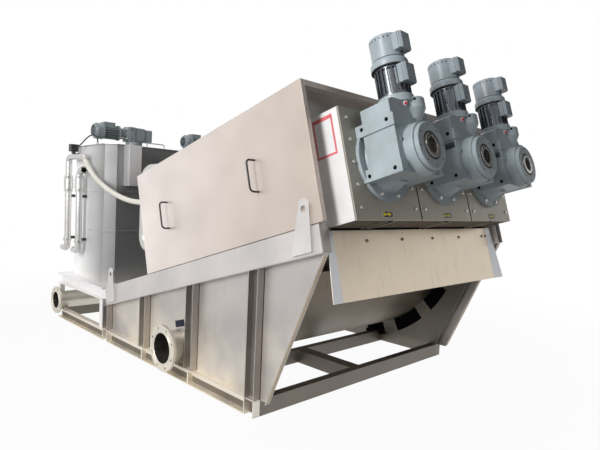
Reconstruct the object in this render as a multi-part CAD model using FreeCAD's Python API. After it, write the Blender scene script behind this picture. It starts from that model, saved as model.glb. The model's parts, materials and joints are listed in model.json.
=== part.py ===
"""Screw press dewaterer: three inclined screws over a filtrate trough, with a flocculation tank.

Frame: +X runs along the machine to the drive end, -Y is the side with the flanged outlet, +Z is up.
The origin is the middle of the skid's footprint, on the ground. Sizes are in millimetres.
The rails, the cover, the drive box and the gear units lie on the incline. They are drawn flat in
their own frame, with u along the incline, y across it and w square to it, and are then tilted.
"""
import FreeCAD, Part
import os
from math import atan2, cos, degrees, pi, radians, sin, tan

from FreeCAD import Placement, Rotation, Vector

# Skid of channel sections, laid with the open side outwards
SKID_START_X = -1605.0
SKID_END_X = 1560.0
SKID_WIDTH = 2090.0
CHANNEL_HEIGHT = 100.0
CHANNEL_FLANGE = 50.0
CHANNEL_WALL = 7.0
CROSS_MEMBER_X = (-530.0, 0.0, 940.0)
CROSS_MEMBER_WIDTH = 60.0
END_MEMBER_WIDTH = 45.0
END_POSTS = (0, 3)
CENTRE_BEAM_Y = -52.0
CENTRE_BEAM_WIDTH = 100.0

# Incline shared by the rails, the cover, the drive box and the gear units
INCLINE = 15.8
RAIL_FOOT_X = -443.0
RAIL_FOOT_Z = 314.0
RAIL_LENGTH = 2600.0
RAIL_HEIGHT = 160.0
RAIL_DEPTH = 70.0
RAIL_WALL = 5.0
RAIL_CORNER = 12.0

# Posts between the skid and the rails
POST_X = (-480.0, 183.0, 843.0, 1514.0)
POST_WIDTH = 90.0
POST_WALL = 6.0

# Side walls, trough and the sloping front edge
WALL_SHEET = 4.0
FRONT_EDGE_FOOT_X = 1640.0
FRONT_EDGE_TOP_U = 2592.0
FRONT_FLANGE = 30.0
INNER_FRONT_INSET = 70.0
PIPE_HOLE_CLEARANCE = 1.0
TROUGH_RADIUS = 965.0
TROUGH_CENTRE_X = 700.0
TROUGH_CENTRE_Z = 1110.0
TROUGH_INSET = 90.0
TROUGH_SHEET = 4.0
TROUGH_FRONT_ANGLE = 74.0
TROUGH_REAR_ANGLE = 20.0
SLOT_DEPTH = 112.0
SLOT_ANGLES = ((8.0, 19.0), (26.5, 42.0), (48.5, 61.0), (66.5, 73.0))

# Cover over the screws
COVER_START_U = 772.0
COVER_END_U = 2635.0
COVER_TOP_W = 930.0
COVER_SHEET = 3.0
COVER_FOLD = 30.0
END_PLATE_U = 2540.0
COVER_GAP = 0.3

# D-handles of bent round bar
HANDLE_BAR = 12.0
HANDLE_LENGTH = 190.0
HANDLE_REACH = 62.0
HANDLE_CORNER = 25.0
SIDE_HANDLE_U = (1171.0, 2180.0)
SIDE_HANDLE_W = 528.0
TOP_HANDLE_U = (985.0, 1935.0)
TOP_HANDLE_Y = 930.0

# Drive box and its front plates
BOX_HALF_WIDTH = 915.0
BOX_BOTTOM_W = 141.0
BOX_TOP_W = 757.0
BOX_FRONT_U = 2736.0
BOX_SHEET = 6.0
DRIVE_PLATE = 12.0
DRIVE_PLATE_GAP = 14.0
DRIVE_PLATE_HOLE = 160.0

# An edge is parallel to an axis above this cosine
PARALLEL = 0.99

# Screws and their gear units
SCREW_PITCH = 610.0
SCREW_W = 465.0
SHAFT_BORE = 90.0
SHAFT_BORE_DEPTH = 120.0
KEYWAY_WIDTH = 22.0
KEYWAY_DEPTH = 5.0
HOLLOW_SHAFT = 130.0
HOLLOW_SHAFT_FRONT_U = 3078.0
HOLLOW_SHAFT_BACK_U = 2640.0
SHAFT_CLEARANCE = 0.05
FLANGE_RADIUS = 225.0
FLANGE_THICKNESS = 22.0
FLANGE_NECK_RADIUS = 184.0
FLANGE_NECK_END_RADIUS = 140.0
FLANGE_NECK_LENGTH = 120.0

# Cast case of a gear unit: a square lower part, a narrower upper part and a foot pad on each corner
GEAR_HALF_WIDTH = 195.0
GEAR_BACK_U = 2790.0
GEAR_FRONT_U = 2990.0
GEAR_BOTTOM_W = 337.0
GEAR_TOP_W = 738.0
CASE_RECESS = 9.0
CASE_CORNER = 10.0
UPPER_BACK_U = 2796.0
UPPER_FRONT_U = 2982.0
UPPER_CHAMFER = 18.0
SHOULDER_HALF = 150.0
SHOULDER_DROP = 36.0
PAD_W = ((336.0, 402.0), (581.0, 646.0))
PAD_U = (2750.0, 2998.0)
PAD_DEPTH = 50.0
PAD_HOLE_U = (2792.0, 2955.0)
PAD_HOLE_W = (365.0, 620.0)
PAD_HOLE = 22.0
PAD_HOLE_DEPTH = 30.0
BOSS_U = 2964.0
BOSS_Y = 62.0
BOSS_RADIUS = 70.0
BOSS_FOOT_RADIUS = 30.0
BOSS_TOP_W = 762.0
BOSS_SIDE_W = 700.0
BOSS_FOOT_W = 630.0
BOSS_ROUND = 10.0
HUB_BASE_RADIUS = 139.0
HUB_BASE_FRONT_U = 3048.0
HUB_RADIUS = 129.0
HUB_FRONT_U = 3073.0
HUB_CHAMFER = 4.0
HUB_RECESS_RADIUS = 79.0
HUB_RECESS_DEPTH = 5.0

# Motors, standing square to the screws, with a forced fan on top
MOTOR_U = 2910.0
MOTOR_RADIUS = 92.0
MOTOR_NECK_RADIUS = 98.0
MOTOR_NECK = 40.0
MOTOR_LENGTH = 166.0
MOTOR_END_RING = 12.0
MOTOR_FINS = 20
MOTOR_FIN_DEPTH = 13.0
MOTOR_FIN_WIDTH = 7.0
TERMINAL_BOX_BACK_U = 2960.0
TERMINAL_BOX_FRONT_U = 3034.0
TERMINAL_BOX_HALF = 52.0
TERMINAL_BOX_W = (836.0, 937.0)
TERMINAL_BOX_CHAMFER = 14.0
COWL_LENGTH = 52.0
COWL_BASE_RADIUS = 104.0
COWL_ROUND = 24.0
FAN_RADIUS = 90.0
FAN_LENGTH = 132.0
FAN_ROUND = 8.0
FAN_BOX_FRONT_U = 3040.0
FAN_BOX_HALF = 50.0
FAN_BOX_W = (1021.0, 1112.0)

# Discharge chute below the drive box
CHUTE_TOP_W = 128.0
CHUTE_FOOT_W = -262.0
CHUTE_HALF_WIDTH = 890.0
CHUTE_WING_TOP = 55.0
CHUTE_WING_FOOT = 100.0
CHUTE_WING_FORWARD = 20.0
END_PLATE_FOOT_W = 60.0
CHUTE_SHEET = 4.0

# Lifting lugs on the rails
LUG_X = (-352.0, 1918.0)
LUG_HEIGHT = 277.0
LUG_FOOT_RISE = 20.0
LUG_HOLE_DROP = 20.0
LUG_FOOT = 145.0
LUG_TOP_RADIUS = 38.0
LUG_HOLE = 40.0
LUG_PLATE = 15.0

# Platform and flocculation tank
PLATFORM_END_X = -545.0
PLATFORM_TOP = 452.0
PLATFORM_CHANNEL = 100.0
DECK_SHEET = 6.0
TANK_START_X = -1560.0
TANK_END_X = -730.0
TANK_HALF_WIDTH = 935.0
TANK_CHAMFER = 80.0
CHAMFER_OFFSET = 0.6
TANK_TOP = 1735.0
TANK_SHEET = 5.0
TANK_BAND_Z = (925.0, 1290.0)
TANK_BAND_HEIGHT = 12.0
LID_SHEET = 5.0
LID_OVERHANG = 12.0
OVERFLOW_DEPTH = 110.0
OVERFLOW_WIDTH = 118.0
OVERFLOW_Y = -730.0
OVERFLOW_BOTTOM = 1355.0
OVERFLOW_TOP_GAP = 2.0
LID_HANDLE_X = -830.0
LID_HANDLE_Y = -420.0
LID_HANDLE_REACH = 50.0

# Agitator gear motors lying on the lid
AGITATOR_Y = (-450.0, 540.0)
AGITATOR_X = -1150.0
AGITATOR_AXIS_RISE = 146.0
AGITATOR_GEAR_LENGTH = 250.0
AGITATOR_GEAR_STEP = 84.0
AGITATOR_GEAR_STEP_DROP = 8.0
AGITATOR_GEAR_WIDTH = 142.0
AGITATOR_GEAR_CORNER = 16.0
AGITATOR_PAD_LENGTH = 62.0
AGITATOR_PAD_RISE = 6.0
AGITATOR_PAD_HOLE = 14.0
AGITATOR_PAD_HOLE_INSET = 24.0
AGITATOR_FOOT_RADIUS = 98.0
AGITATOR_FOOT_THICKNESS = 14.0
AGITATOR_PEDESTAL_RADIUS = 82.0
AGITATOR_PEDESTAL_SHIFT = 40.0
AGITATOR_ADAPTER_RADIUS = 74.0
AGITATOR_ADAPTER_WAIST = 52.0
AGITATOR_ADAPTER_RIM = 12.0
AGITATOR_ADAPTER_LENGTH = 94.0
AGITATOR_MOTOR_RADIUS = 68.0
AGITATOR_MOTOR_LENGTH = 152.0
AGITATOR_FINS = 18
AGITATOR_FIN_DEPTH = 9.0
AGITATOR_FIN_WIDTH = 5.0
AGITATOR_COWL_RADIUS = 76.0
AGITATOR_COWL_END_RADIUS = 60.0
AGITATOR_COWL_LENGTH = 66.0
AGITATOR_COWL_TAPER = 22.0
AGITATOR_BOX_LENGTH = 110.0
AGITATOR_BOX_WIDTH = 92.0
AGITATOR_BOX_RISE = 16.0

# Flanged pipes
OUTLET_X = 684.0
OUTLET_Z = 228.0
OUTLET_PIPE = 219.0
OUTLET_WALL = 4.0
OUTLET_FLANGE = 320.0
OUTLET_BOLT_CIRCLE = 280.0
OUTLET_REACH = 107.0
INLET_X = -1471.0
INLET_Z = 197.0
INLET_PIPE = 168.0
INLET_WALL = 4.0
INLET_FLANGE = 265.0
INLET_BOLT_CIRCLE = 225.0
INLET_REACH = 67.0
INLET_RUN = 620.0
INLET_BEND = 160.0
PIPE_FLANGE_THICKNESS = 20.0
PIPE_FLANGE_BOLTS = 8
PIPE_FLANGE_BOLT_HOLE = 18.0

# Rinse water risers on the tank's near face
RISER_X = (-1490.0, -1210.0)
RISER_STANDOFF = 70.0
RISER_PIPE = 60.0
RISER_BEND = 50.0
RISER_FOOT = 120.0
RISER_BOTTOM_Z = 712.0
RISER_TOP_Z = (1625.0, 1490.0)
RISER_ARM = 105.0
VALVE_Z = 1360.0
VALVE_BODY = 86.0
VALVE_LENGTH = 100.0
CLAMP_Z = (820.0, 1240.0)
CLAMP_WIDTH = 24.0
CLAMP_HEIGHT = 20.0
COIL_X = -1375.0
COIL_Z = 1710.0
COIL_SIZE = 70.0
COIL_STEM = 40.0

# Loop pipe at the tail of the cover
LOOP_PIPE = 114.0
LOOP_BEND = 90.0
LOOP_X = -137.0
LOOP_INSET = 185.0
LOOP_TOP_Z = 1478.0
LOOP_BOTTOM_Z = 850.0
LOOP_END_X = 115.0

# Wash hose and cable of the solenoid valve
HOSE_DIAMETER = 44.0
HOSE_SOCKET = 58.0
HOSE_SOCKET_REACH = 200.0
HOSE_SOCKET_INSET = 70.0
HOSE_BARB = 60.0
HOSE_ROUTE = ((-1090.0, -1005.0, 1585.0), (-1022.0, -1004.0, 1525.0), (-900.0, -1001.0, 1442.0),
              (-730.0, -996.0, 1360.0), (-520.0, -990.0, 1288.0), (-300.0, -983.0, 1238.0),
              (-110.0, -975.0, 1216.0), (75.0, -975.0, 1216.0))
CABLE_DIAMETER = 12.0
CABLE_ROUTE = ((-1340.0, -1005.0, 1710.0), (-1284.0, -1005.0, 1710.0), (-1224.0, -999.0, 1734.0),
               (-1164.0, -990.0, 1768.0), (-1110.0, -978.0, 1802.0), (-1064.0, -961.0, 1824.0),
               (-1020.0, -943.0, 1824.0), (-990.0, -930.0, 1797.0), (-990.0, -930.0, 1752.0))
CABLE_GLAND = 22.0
CABLE_GLAND_RISE = 17.0
CABLE_GLAND_X = -990.0
CABLE_GLAND_INSET = 5.0

SIDE_Y = SKID_WIDTH / 2.0
WALL_Y = SIDE_Y - CHANNEL_FLANGE
TROUGH_Y = SIDE_Y - TROUGH_INSET
SCREWS = (-SCREW_PITCH, 0.0, SCREW_PITCH)
OUTLET_FACE_Y = -SIDE_Y - OUTLET_REACH
INLET_FACE_Y = -SIDE_Y - INLET_REACH
RISER_Y = -TANK_HALF_WIDTH - RISER_STANDOFF
LOOP_Y = -SIDE_Y + LOOP_INSET
LONG = 6000.0


def box(x0, x1, y0, y1, z0, z1):
    """Block between two corners."""
    return Part.makeBox(x1 - x0, y1 - y0, z1 - z0, Vector(x0, y0, z0))


def prism(points, direction):
    """Closed outline of points pushed along a direction."""
    corners = [Vector(*point) for point in points]
    return Part.Face(Part.makePolygon(corners + corners[:1])).extrude(Vector(*direction))


def rod(start, direction, radius, length):
    return Part.makeCylinder(radius, length, Vector(*start), Vector(*direction))


def fuse(solids):
    whole = solids[0]
    if len(solids) > 1:
        whole = whole.fuse(solids[1:])
    return whole.removeSplitter()


def cut(shape, tools):
    for tool in tools:
        shape = shape.cut(tool)
    return shape


def mirror_y(shape):
    """The same piece on the other side of the machine."""
    return shape.mirror(Vector(0, 0, 0), Vector(0, 1, 0))


def bent_bar(points, bends, diameter):
    """Round bar along straight runs, with a bend of its own radius at each inner corner."""
    corners = [Vector(*point) for point in points]
    solids = []
    start = corners[0]
    for before, corner, after, bend in zip(corners, corners[1:], corners[2:], bends):
        back = (before - corner).normalize()
        ahead = (after - corner).normalize()
        half_turn = (pi - back.getAngle(ahead)) / 2
        first = corner + back * bend * tan(half_turn)
        last = corner + ahead * bend * tan(half_turn)
        centre = corner + (back + ahead).normalize() * (bend / cos(half_turn))
        disc = Part.Face(Part.Wire([Part.Circle(first, back, diameter / 2).toShape()]))
        solids.append(Part.makeCylinder(diameter / 2, (first - start).Length, start, back.negative()))
        solids.append(disc.revolve(centre, (first - centre).cross(last - centre), degrees(2 * half_turn)))
        start = last
    solids.append(Part.makeCylinder(diameter / 2, (corners[-1] - start).Length, start, corners[-1] - start))
    return solids[0].fuse(solids[1:])


def long_edges(solid, direction):
    """Straight edges of a solid that run along a direction."""
    return [edge for edge in solid.Edges if abs(edge.tangentAt(0).dot(direction)) > PARALLEL]


def edges_above(solid, height):
    return [edge for edge in solid.Edges if edge.BoundBox.ZMin > height]


def fins(count, radius, depth, width, length):
    """Ring of straight cooling fins round the Z axis, from z = 0 up to z = length."""
    ring = []
    for index in range(count):
        fin = box(radius - 2 * depth, radius, -width / 2, width / 2, 0, length)
        fin.rotate(Vector(0, 0, 0), Vector(0, 0, 1), index * 360.0 / count)
        ring.append(fin)
    return ring


def chamfered_box(u0, u1, y, half, w0, w1, chamfer):
    """Terminal box whose front corners are cut off."""
    outline = [(u0, y - half, w0), (u1 - chamfer, y - half, w0), (u1, y - half + chamfer, w0),
               (u1, y + half - chamfer, w0), (u1 - chamfer, y + half, w0), (u0, y + half, w0)]
    return prism(outline, (0, 0, w1 - w0))


def tilt(shape):
    """Moves a piece from the flat frame u, y, w onto the incline."""
    turn = Rotation(Vector(0, 1, 0), -INCLINE)
    placed = shape.copy()
    placed.Placement = Placement(Vector(RAIL_FOOT_X, 0, RAIL_FOOT_Z), turn).multiply(shape.Placement)
    return placed


def at_incline(u, w):
    """Place in X and Z of a point on the incline."""
    a = radians(INCLINE)
    return RAIL_FOOT_X + u * cos(a) - w * sin(a), RAIL_FOOT_Z + u * sin(a) + w * cos(a)


def below_rails():
    """Everything below the underside of the rails."""
    return tilt(box(-LONG, LONG, -LONG, LONG, -LONG, 0.0))


def channel_profile(height, flange, wall):
    """Outline of a channel in y and z, with its web at y = 0 and its mouth towards -y."""
    return [(0, 0), (-flange, 0), (-flange, wall), (-wall, wall), (-wall, height - wall),
            (-flange, height - wall), (-flange, height), (0, height)]


def side_channel(x0, x1, z0, height):
    """Channel along X on the near side, its open side outwards."""
    points = [(x0, -WALL_Y + y, z0 + z) for y, z in channel_profile(height, CHANNEL_FLANGE, CHANNEL_WALL)]
    return prism(points, (x1 - x0, 0, 0))


def post_outline(x):
    """Section of a channel post in x and y, its open side outwards."""
    half = POST_WIDTH / 2
    return [(x - half, -SIDE_Y), (x - half, -WALL_Y), (x + half, -WALL_Y), (x + half, -SIDE_Y),
            (x + half - POST_WALL, -SIDE_Y), (x + half - POST_WALL, -WALL_Y - POST_WALL),
            (x - half + POST_WALL, -WALL_Y - POST_WALL), (x - half + POST_WALL, -SIDE_Y)]


def skid_near_beam():
    """Channel beam with a stiffener under each middle post; the end posts reach the ground."""
    beam = side_channel(SKID_START_X, SKID_END_X, 0.0, CHANNEL_HEIGHT)
    added = []
    for index, x in enumerate(POST_X):
        if index in END_POSTS:
            half = POST_WIDTH / 2
            beam = beam.cut(box(x - half, x + half, -SIDE_Y - 1, -WALL_Y - POST_WALL, -1,
                                CHANNEL_HEIGHT + 1))
            added.append(prism([(px, py, 0) for px, py in post_outline(x)], (0, 0, CHANNEL_HEIGHT)))
        else:
            added.append(box(x - CHANNEL_WALL, x + CHANNEL_WALL,
                             -SIDE_Y + CHANNEL_WALL, -WALL_Y - CHANNEL_WALL / 2,
                             CHANNEL_WALL / 2, CHANNEL_HEIGHT - CHANNEL_WALL / 2))
    return fuse([beam] + added)


def skid_cross_members():
    """Members across the skid, the end members and the middle beam ahead of the trough."""
    half = WALL_Y
    bars = [box(SKID_START_X, SKID_START_X + END_MEMBER_WIDTH, -half, half, 0, CHANNEL_HEIGHT)]
    for x in CROSS_MEMBER_X:
        bars.append(box(x - CROSS_MEMBER_WIDTH / 2, x + CROSS_MEMBER_WIDTH / 2, -half, half, 0,
                        CHANNEL_HEIGHT))
    front = box(SKID_END_X - CROSS_MEMBER_WIDTH, SKID_END_X, -half, half, 0, CHANNEL_HEIGHT)
    middle = box(CROSS_MEMBER_X[2], SKID_END_X - CROSS_MEMBER_WIDTH, CENTRE_BEAM_Y - CENTRE_BEAM_WIDTH / 2,
                 CENTRE_BEAM_Y + CENTRE_BEAM_WIDTH / 2, 0, CHANNEL_HEIGHT)
    return Part.makeCompound(bars[:3] + [fuse([bars[3], middle, front])])


def post(x):
    """Channel post on the near side, cut off under the rail."""
    tall = prism([(px, py, CHANNEL_HEIGHT) for px, py in post_outline(x)], (0, 0, LONG))
    return tall.common(below_rails())


def side_posts():
    near = [post(x) for x in POST_X]
    return Part.makeCompound(near + [mirror_y(one) for one in near])


def front_edge():
    """Foot and top of the sloping front edge in X and Z."""
    top_x, top_z = at_incline(FRONT_EDGE_TOP_U, 0.0)
    return (FRONT_EDGE_FOOT_X, CHANNEL_HEIGHT), (top_x, top_z)


def wall_outline(inset, front_inset):
    """Outline of a side sheet: skid, sloping front edge, underside of the rail, rear post."""
    (foot_x, foot_z), (top_x, top_z) = front_edge()
    foot_x -= front_inset
    top_x -= front_inset
    top_z -= front_inset * tan(radians(INCLINE))
    rear_x = POST_X[0] - POST_WIDTH / 2 + inset
    rear_z = RAIL_FOOT_Z + (rear_x - RAIL_FOOT_X) * tan(radians(INCLINE))
    return [(rear_x, CHANNEL_HEIGHT), (foot_x, foot_z), (top_x, top_z), (rear_x, rear_z)]


def outlet_hole(diameter):
    """Round hole on the outlet's axis through both side sheets on the near side."""
    return rod((OUTLET_X, -SIDE_Y, OUTLET_Z), (0, 1, 0), diameter / 2, 2 * TROUGH_INSET)


def side_wall():
    """Outer sheet behind the posts, with the flange along its sloping front edge."""
    outline = [(x, -WALL_Y, z) for x, z in wall_outline(0.0, 0.0)]
    sheet = prism(outline, (0, WALL_SHEET, 0))
    (foot_x, foot_z), (top_x, top_z) = front_edge()
    slope = atan2(top_z - foot_z, top_x - foot_x)
    back_x = WALL_SHEET * sin(slope)
    back_z = WALL_SHEET * cos(slope)
    flange = prism([(foot_x, -WALL_Y - FRONT_FLANGE, foot_z), (top_x, -WALL_Y - FRONT_FLANGE, top_z),
                    (top_x - back_x, -WALL_Y - FRONT_FLANGE, top_z + back_z),
                    (foot_x - back_x, -WALL_Y - FRONT_FLANGE, foot_z + back_z)],
                   (0, FRONT_FLANGE + WALL_SHEET, 0))
    return fuse([sheet, flange.common(below_rails())])


def trough_point(radius, angle):
    a = radians(angle)
    return TROUGH_CENTRE_X + radius * sin(a), TROUGH_CENTRE_Z - radius * cos(a)


def trough_slot(start, end):
    """Window between two angles, outside the curved wall, through a trough side plate."""
    inner = TROUGH_RADIUS + TROUGH_SHEET
    outer = inner + SLOT_DEPTH
    depth = 4 * WALL_SHEET
    y = -TROUGH_Y - 2 * WALL_SHEET
    corners = [trough_point(r, a) for r, a in ((inner, start), (outer, start), (outer, end), (inner, end))]
    middle = (start + end) / 2
    low = [Vector(x, y, z) for x, z in corners]
    inner_mid = Vector(trough_point(inner, middle)[0], y, trough_point(inner, middle)[1])
    outer_mid = Vector(trough_point(outer, middle)[0], y, trough_point(outer, middle)[1])
    edges = [Part.LineSegment(low[0], low[1]).toShape(), Part.Arc(low[1], outer_mid, low[2]).toShape(),
             Part.LineSegment(low[2], low[3]).toShape(), Part.Arc(low[3], inner_mid, low[0]).toShape()]
    return Part.Face(Part.Wire(edges)).extrude(Vector(0, depth, 0))


def trough_side_plate():
    """Inner side plate on the near side, with the row of windows along the trough."""
    outline = [(x, -TROUGH_Y, z) for x, z in wall_outline(POST_WIDTH, INNER_FRONT_INSET)]
    plate = prism(outline, (0, WALL_SHEET, 0))
    return cut(plate, [trough_slot(start, end) for start, end in SLOT_ANGLES])


def trough_path(radius):
    """Line of the trough from the rear down the sloping floor, round the bottom and up the front."""
    rear_x = POST_X[0] + POST_WIDTH / 2
    down = trough_point(radius, -TROUGH_REAR_ANGLE)
    rear_z = down[1] + (down[0] - rear_x) * tan(radians(TROUGH_REAR_ANGLE))
    return (rear_x, rear_z), down, trough_point(radius, 0.0), trough_point(radius, TROUGH_FRONT_ANGLE)


def trough_pan():
    """Curved filtrate trough between the side plates."""
    y = -TROUGH_Y + WALL_SHEET
    inner = [Vector(x, y, z) for x, z in trough_path(TROUGH_RADIUS)]
    outer = [Vector(x, y, z) for x, z in trough_path(TROUGH_RADIUS + TROUGH_SHEET)]
    edges = [Part.LineSegment(inner[0], inner[1]).toShape(), Part.Arc(inner[1], inner[2], inner[3]).toShape(),
             Part.LineSegment(inner[3], outer[3]).toShape(), Part.Arc(outer[3], outer[2], outer[1]).toShape(),
             Part.LineSegment(outer[1], outer[0]).toShape(), Part.LineSegment(outer[0], inner[0]).toShape()]
    return Part.Face(Part.Wire(edges)).extrude(Vector(0, -2 * y, 0))


def rounded_bar(x0, x1, y0, y1, z0, z1, corner):
    """Bar along X with rounded long edges."""
    bar = box(x0, x1, y0, y1, z0, z1)
    return bar.makeFillet(corner, long_edges(bar, Vector(1, 0, 0)))


def inclined_rail():
    """Closed box section under the cover, on the near side."""
    outer = rounded_bar(0, RAIL_LENGTH, -SIDE_Y, -SIDE_Y + RAIL_DEPTH, 0, RAIL_HEIGHT, RAIL_CORNER)
    inner = rounded_bar(RAIL_WALL, RAIL_LENGTH - RAIL_WALL,
                        -SIDE_Y + RAIL_WALL, -SIDE_Y + RAIL_DEPTH - RAIL_WALL,
                        RAIL_WALL, RAIL_HEIGHT - RAIL_WALL, RAIL_CORNER - RAIL_WALL)
    return tilt(outer.cut(inner))


def lifting_lug(x):
    """Upright tapered plate on the rail's outer face, rounded round its hole."""
    rise = RAIL_FOOT_Z + (x - RAIL_FOOT_X) * tan(radians(INCLINE))
    y = -SIDE_Y - LUG_PLATE
    half = LUG_FOOT / 2
    drop = half * tan(radians(INCLINE))
    r = LUG_TOP_RADIUS
    shoulder = rise + LUG_HEIGHT
    foot_left = Vector(x - half, y, rise - drop + LUG_FOOT_RISE)
    foot_right = Vector(x + half, y, rise + drop + LUG_FOOT_RISE)
    right = Vector(x + r, y, shoulder)
    left = Vector(x - r, y, shoulder)
    edges = [Part.LineSegment(foot_left, foot_right).toShape(), Part.LineSegment(foot_right, right).toShape(),
             Part.Arc(right, Vector(x, y, shoulder + r), left).toShape(),
             Part.LineSegment(left, foot_left).toShape()]
    plate = Part.Face(Part.Wire(edges)).extrude(Vector(0, LUG_PLATE, 0))
    return plate.cut(rod((x, y - 1, shoulder - LUG_HOLE_DROP), (0, 1, 0), LUG_HOLE / 2, LUG_PLATE + 2))


def lifting_lugs():
    near = [lifting_lug(x) for x in LUG_X]
    return Part.makeCompound(near + [mirror_y(lug) for lug in near])


def folded_panel(u0, u1, w0, w1):
    """Side cover: a sheet with folds turned inwards along its four edges."""
    skin = box(u0, u1, -SIDE_Y, -SIDE_Y + COVER_FOLD, w0, w1)
    hollow = box(u0 + COVER_SHEET, u1 - COVER_SHEET, -SIDE_Y + COVER_SHEET, -SIDE_Y + 2 * COVER_FOLD,
                 w0 + COVER_SHEET, w1 - COVER_SHEET)
    return tilt(skin.cut(hollow))


def side_cover():
    return folded_panel(COVER_START_U, COVER_END_U, RAIL_HEIGHT + COVER_GAP, COVER_TOP_W)


def top_cover():
    """Top sheet with lips folded down at the ends, resting on the side covers."""
    w = COVER_TOP_W + COVER_GAP
    half = SIDE_Y
    sheet = box(COVER_START_U, COVER_END_U, -half, half, w, w + COVER_SHEET)
    inner = half - COVER_FOLD - COVER_SHEET
    front_lip = box(COVER_END_U - COVER_SHEET, COVER_END_U, -inner, inner, w - COVER_FOLD, w)
    return tilt(fuse([sheet, front_lip]))


def end_plate(u, foot_w, foot_half):
    """Plate across the machine inside the covers, its lower part between the rails."""
    half = SIDE_Y - COVER_FOLD - COVER_GAP
    upper = box(u, u + COVER_SHEET, -half, half, RAIL_HEIGHT + COVER_GAP, COVER_TOP_W - COVER_GAP)
    lower = box(u, u + COVER_SHEET, -foot_half, foot_half, foot_w, RAIL_HEIGHT + COVER_SHEET)
    return fuse([upper, lower])


def cover_end_plate():
    """Plate behind the drive box, with a hole for each screw shaft."""
    plate = end_plate(END_PLATE_U, END_PLATE_FOOT_W, CHUTE_HALF_WIDTH)
    holes = [rod((END_PLATE_U - 1, y, SCREW_W), (1, 0, 0), HOLLOW_SHAFT, 10) for y in SCREWS]
    return tilt(cut(plate, holes))


def cover_tail_plate():
    """Plate at the tail, with the socket that takes the wash hose."""
    plate = tilt(end_plate(COVER_START_U + COVER_FOLD, 0.0, SIDE_Y - RAIL_DEPTH - COVER_GAP))
    x, _, z = HOSE_ROUTE[-1]
    socket = rod((x, -SIDE_Y + HOSE_SOCKET_INSET, z), (1, 0, 0), HOSE_SOCKET / 2, HOSE_SOCKET_REACH)
    beyond = tilt(box(COVER_START_U + COVER_FOLD, LONG, -LONG, LONG, -LONG, LONG))
    return fuse([plate, socket.cut(beyond)])


def handle(length, reach):
    """D-handle of round bar, from (0, 0, 0) up to z = length, standing out by reach along -y."""
    corners = [(0, 0, 0), (0, -reach, 0), (0, -reach, length), (0, 0, length)]
    return bent_bar(corners, (HANDLE_CORNER, HANDLE_CORNER), HANDLE_BAR)


def cover_handles():
    """Handles on both side covers and along both edges of the top cover."""
    solids = []
    for u in SIDE_HANDLE_U:
        side = handle(HANDLE_LENGTH, HANDLE_REACH)
        side.translate(Vector(u, -SIDE_Y, SIDE_HANDLE_W - HANDLE_LENGTH / 2))
        solids += [tilt(side), mirror_y(tilt(side))]
    for u in TOP_HANDLE_U:
        top = handle(HANDLE_LENGTH, HANDLE_REACH)
        top.rotate(Vector(0, 0, 0), Vector(0, 1, 0), 90)
        top.rotate(Vector(0, 0, 0), Vector(1, 0, 0), -90)
        top.translate(Vector(u - HANDLE_LENGTH / 2, -TOP_HANDLE_Y, COVER_TOP_W + COVER_GAP + COVER_SHEET))
        solids += [tilt(top), mirror_y(tilt(top))]
    return Part.makeCompound(solids)


def drive_box():
    """Open-fronted box on the end plate that carries the three gear units."""
    back = END_PLATE_U + COVER_SHEET + COVER_GAP
    half = BOX_HALF_WIDTH
    s = BOX_SHEET
    outer = box(back, BOX_FRONT_U, -half, half, BOX_BOTTOM_W, BOX_TOP_W)
    inner = box(back - 1, BOX_FRONT_U + 1, -half + s, half - s, BOX_BOTTOM_W + s, BOX_TOP_W - s)
    ribs = []
    for y in (-SCREW_PITCH / 2, SCREW_PITCH / 2):
        ribs.append(box(back, BOX_FRONT_U, y - s, y + s, BOX_BOTTOM_W + s / 2, BOX_TOP_W - s / 2))
    return tilt(fuse([outer.cut(inner)] + ribs))


def drive_plates():
    """Three bolted front plates, one for each gear unit."""
    front = BOX_FRONT_U + COVER_GAP
    width = 2 * BOX_HALF_WIDTH / 3
    plates = []
    for index, y in enumerate(SCREWS):
        left = -BOX_HALF_WIDTH + index * width
        right = left + width
        if index > 0:
            left += DRIVE_PLATE_GAP / 2
        if index < 2:
            right -= DRIVE_PLATE_GAP / 2
        plate = box(front, front + DRIVE_PLATE, left, right, BOX_BOTTOM_W, BOX_TOP_W)
        hole = rod((front - 1, y, SCREW_W), (1, 0, 0), DRIVE_PLATE_HOLE / 2, DRIVE_PLATE + 2)
        plates.append(tilt(plate.cut(hole)))
    return Part.makeCompound(plates)


def gear_case(y):
    """Lower and upper part of a gear unit's case, without its pads."""
    half = GEAR_HALF_WIDTH - CASE_RECESS
    waist = PAD_W[1][1]
    lower = box(GEAR_BACK_U, GEAR_FRONT_U, y - half, y + half, GEAR_BOTTOM_W, waist)
    corners = [edge for edge in long_edges(lower, Vector(1, 0, 0)) if edge.BoundBox.ZMax < waist]
    lower = lower.makeFillet(CASE_CORNER, corners)
    shoulder = GEAR_TOP_W - SHOULDER_DROP
    outline = [(y - half, waist - 1), (y + half, waist - 1), (y + SHOULDER_HALF, shoulder),
               (y + SHOULDER_HALF - UPPER_CHAMFER, GEAR_TOP_W), (y - half + 2 * UPPER_CHAMFER, GEAR_TOP_W),
               (y - half, GEAR_TOP_W - UPPER_CHAMFER)]
    upper = prism([(UPPER_BACK_U, py, pw) for py, pw in outline], (UPPER_FRONT_U - UPPER_BACK_U, 0, 0))
    return [lower, upper]


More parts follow.
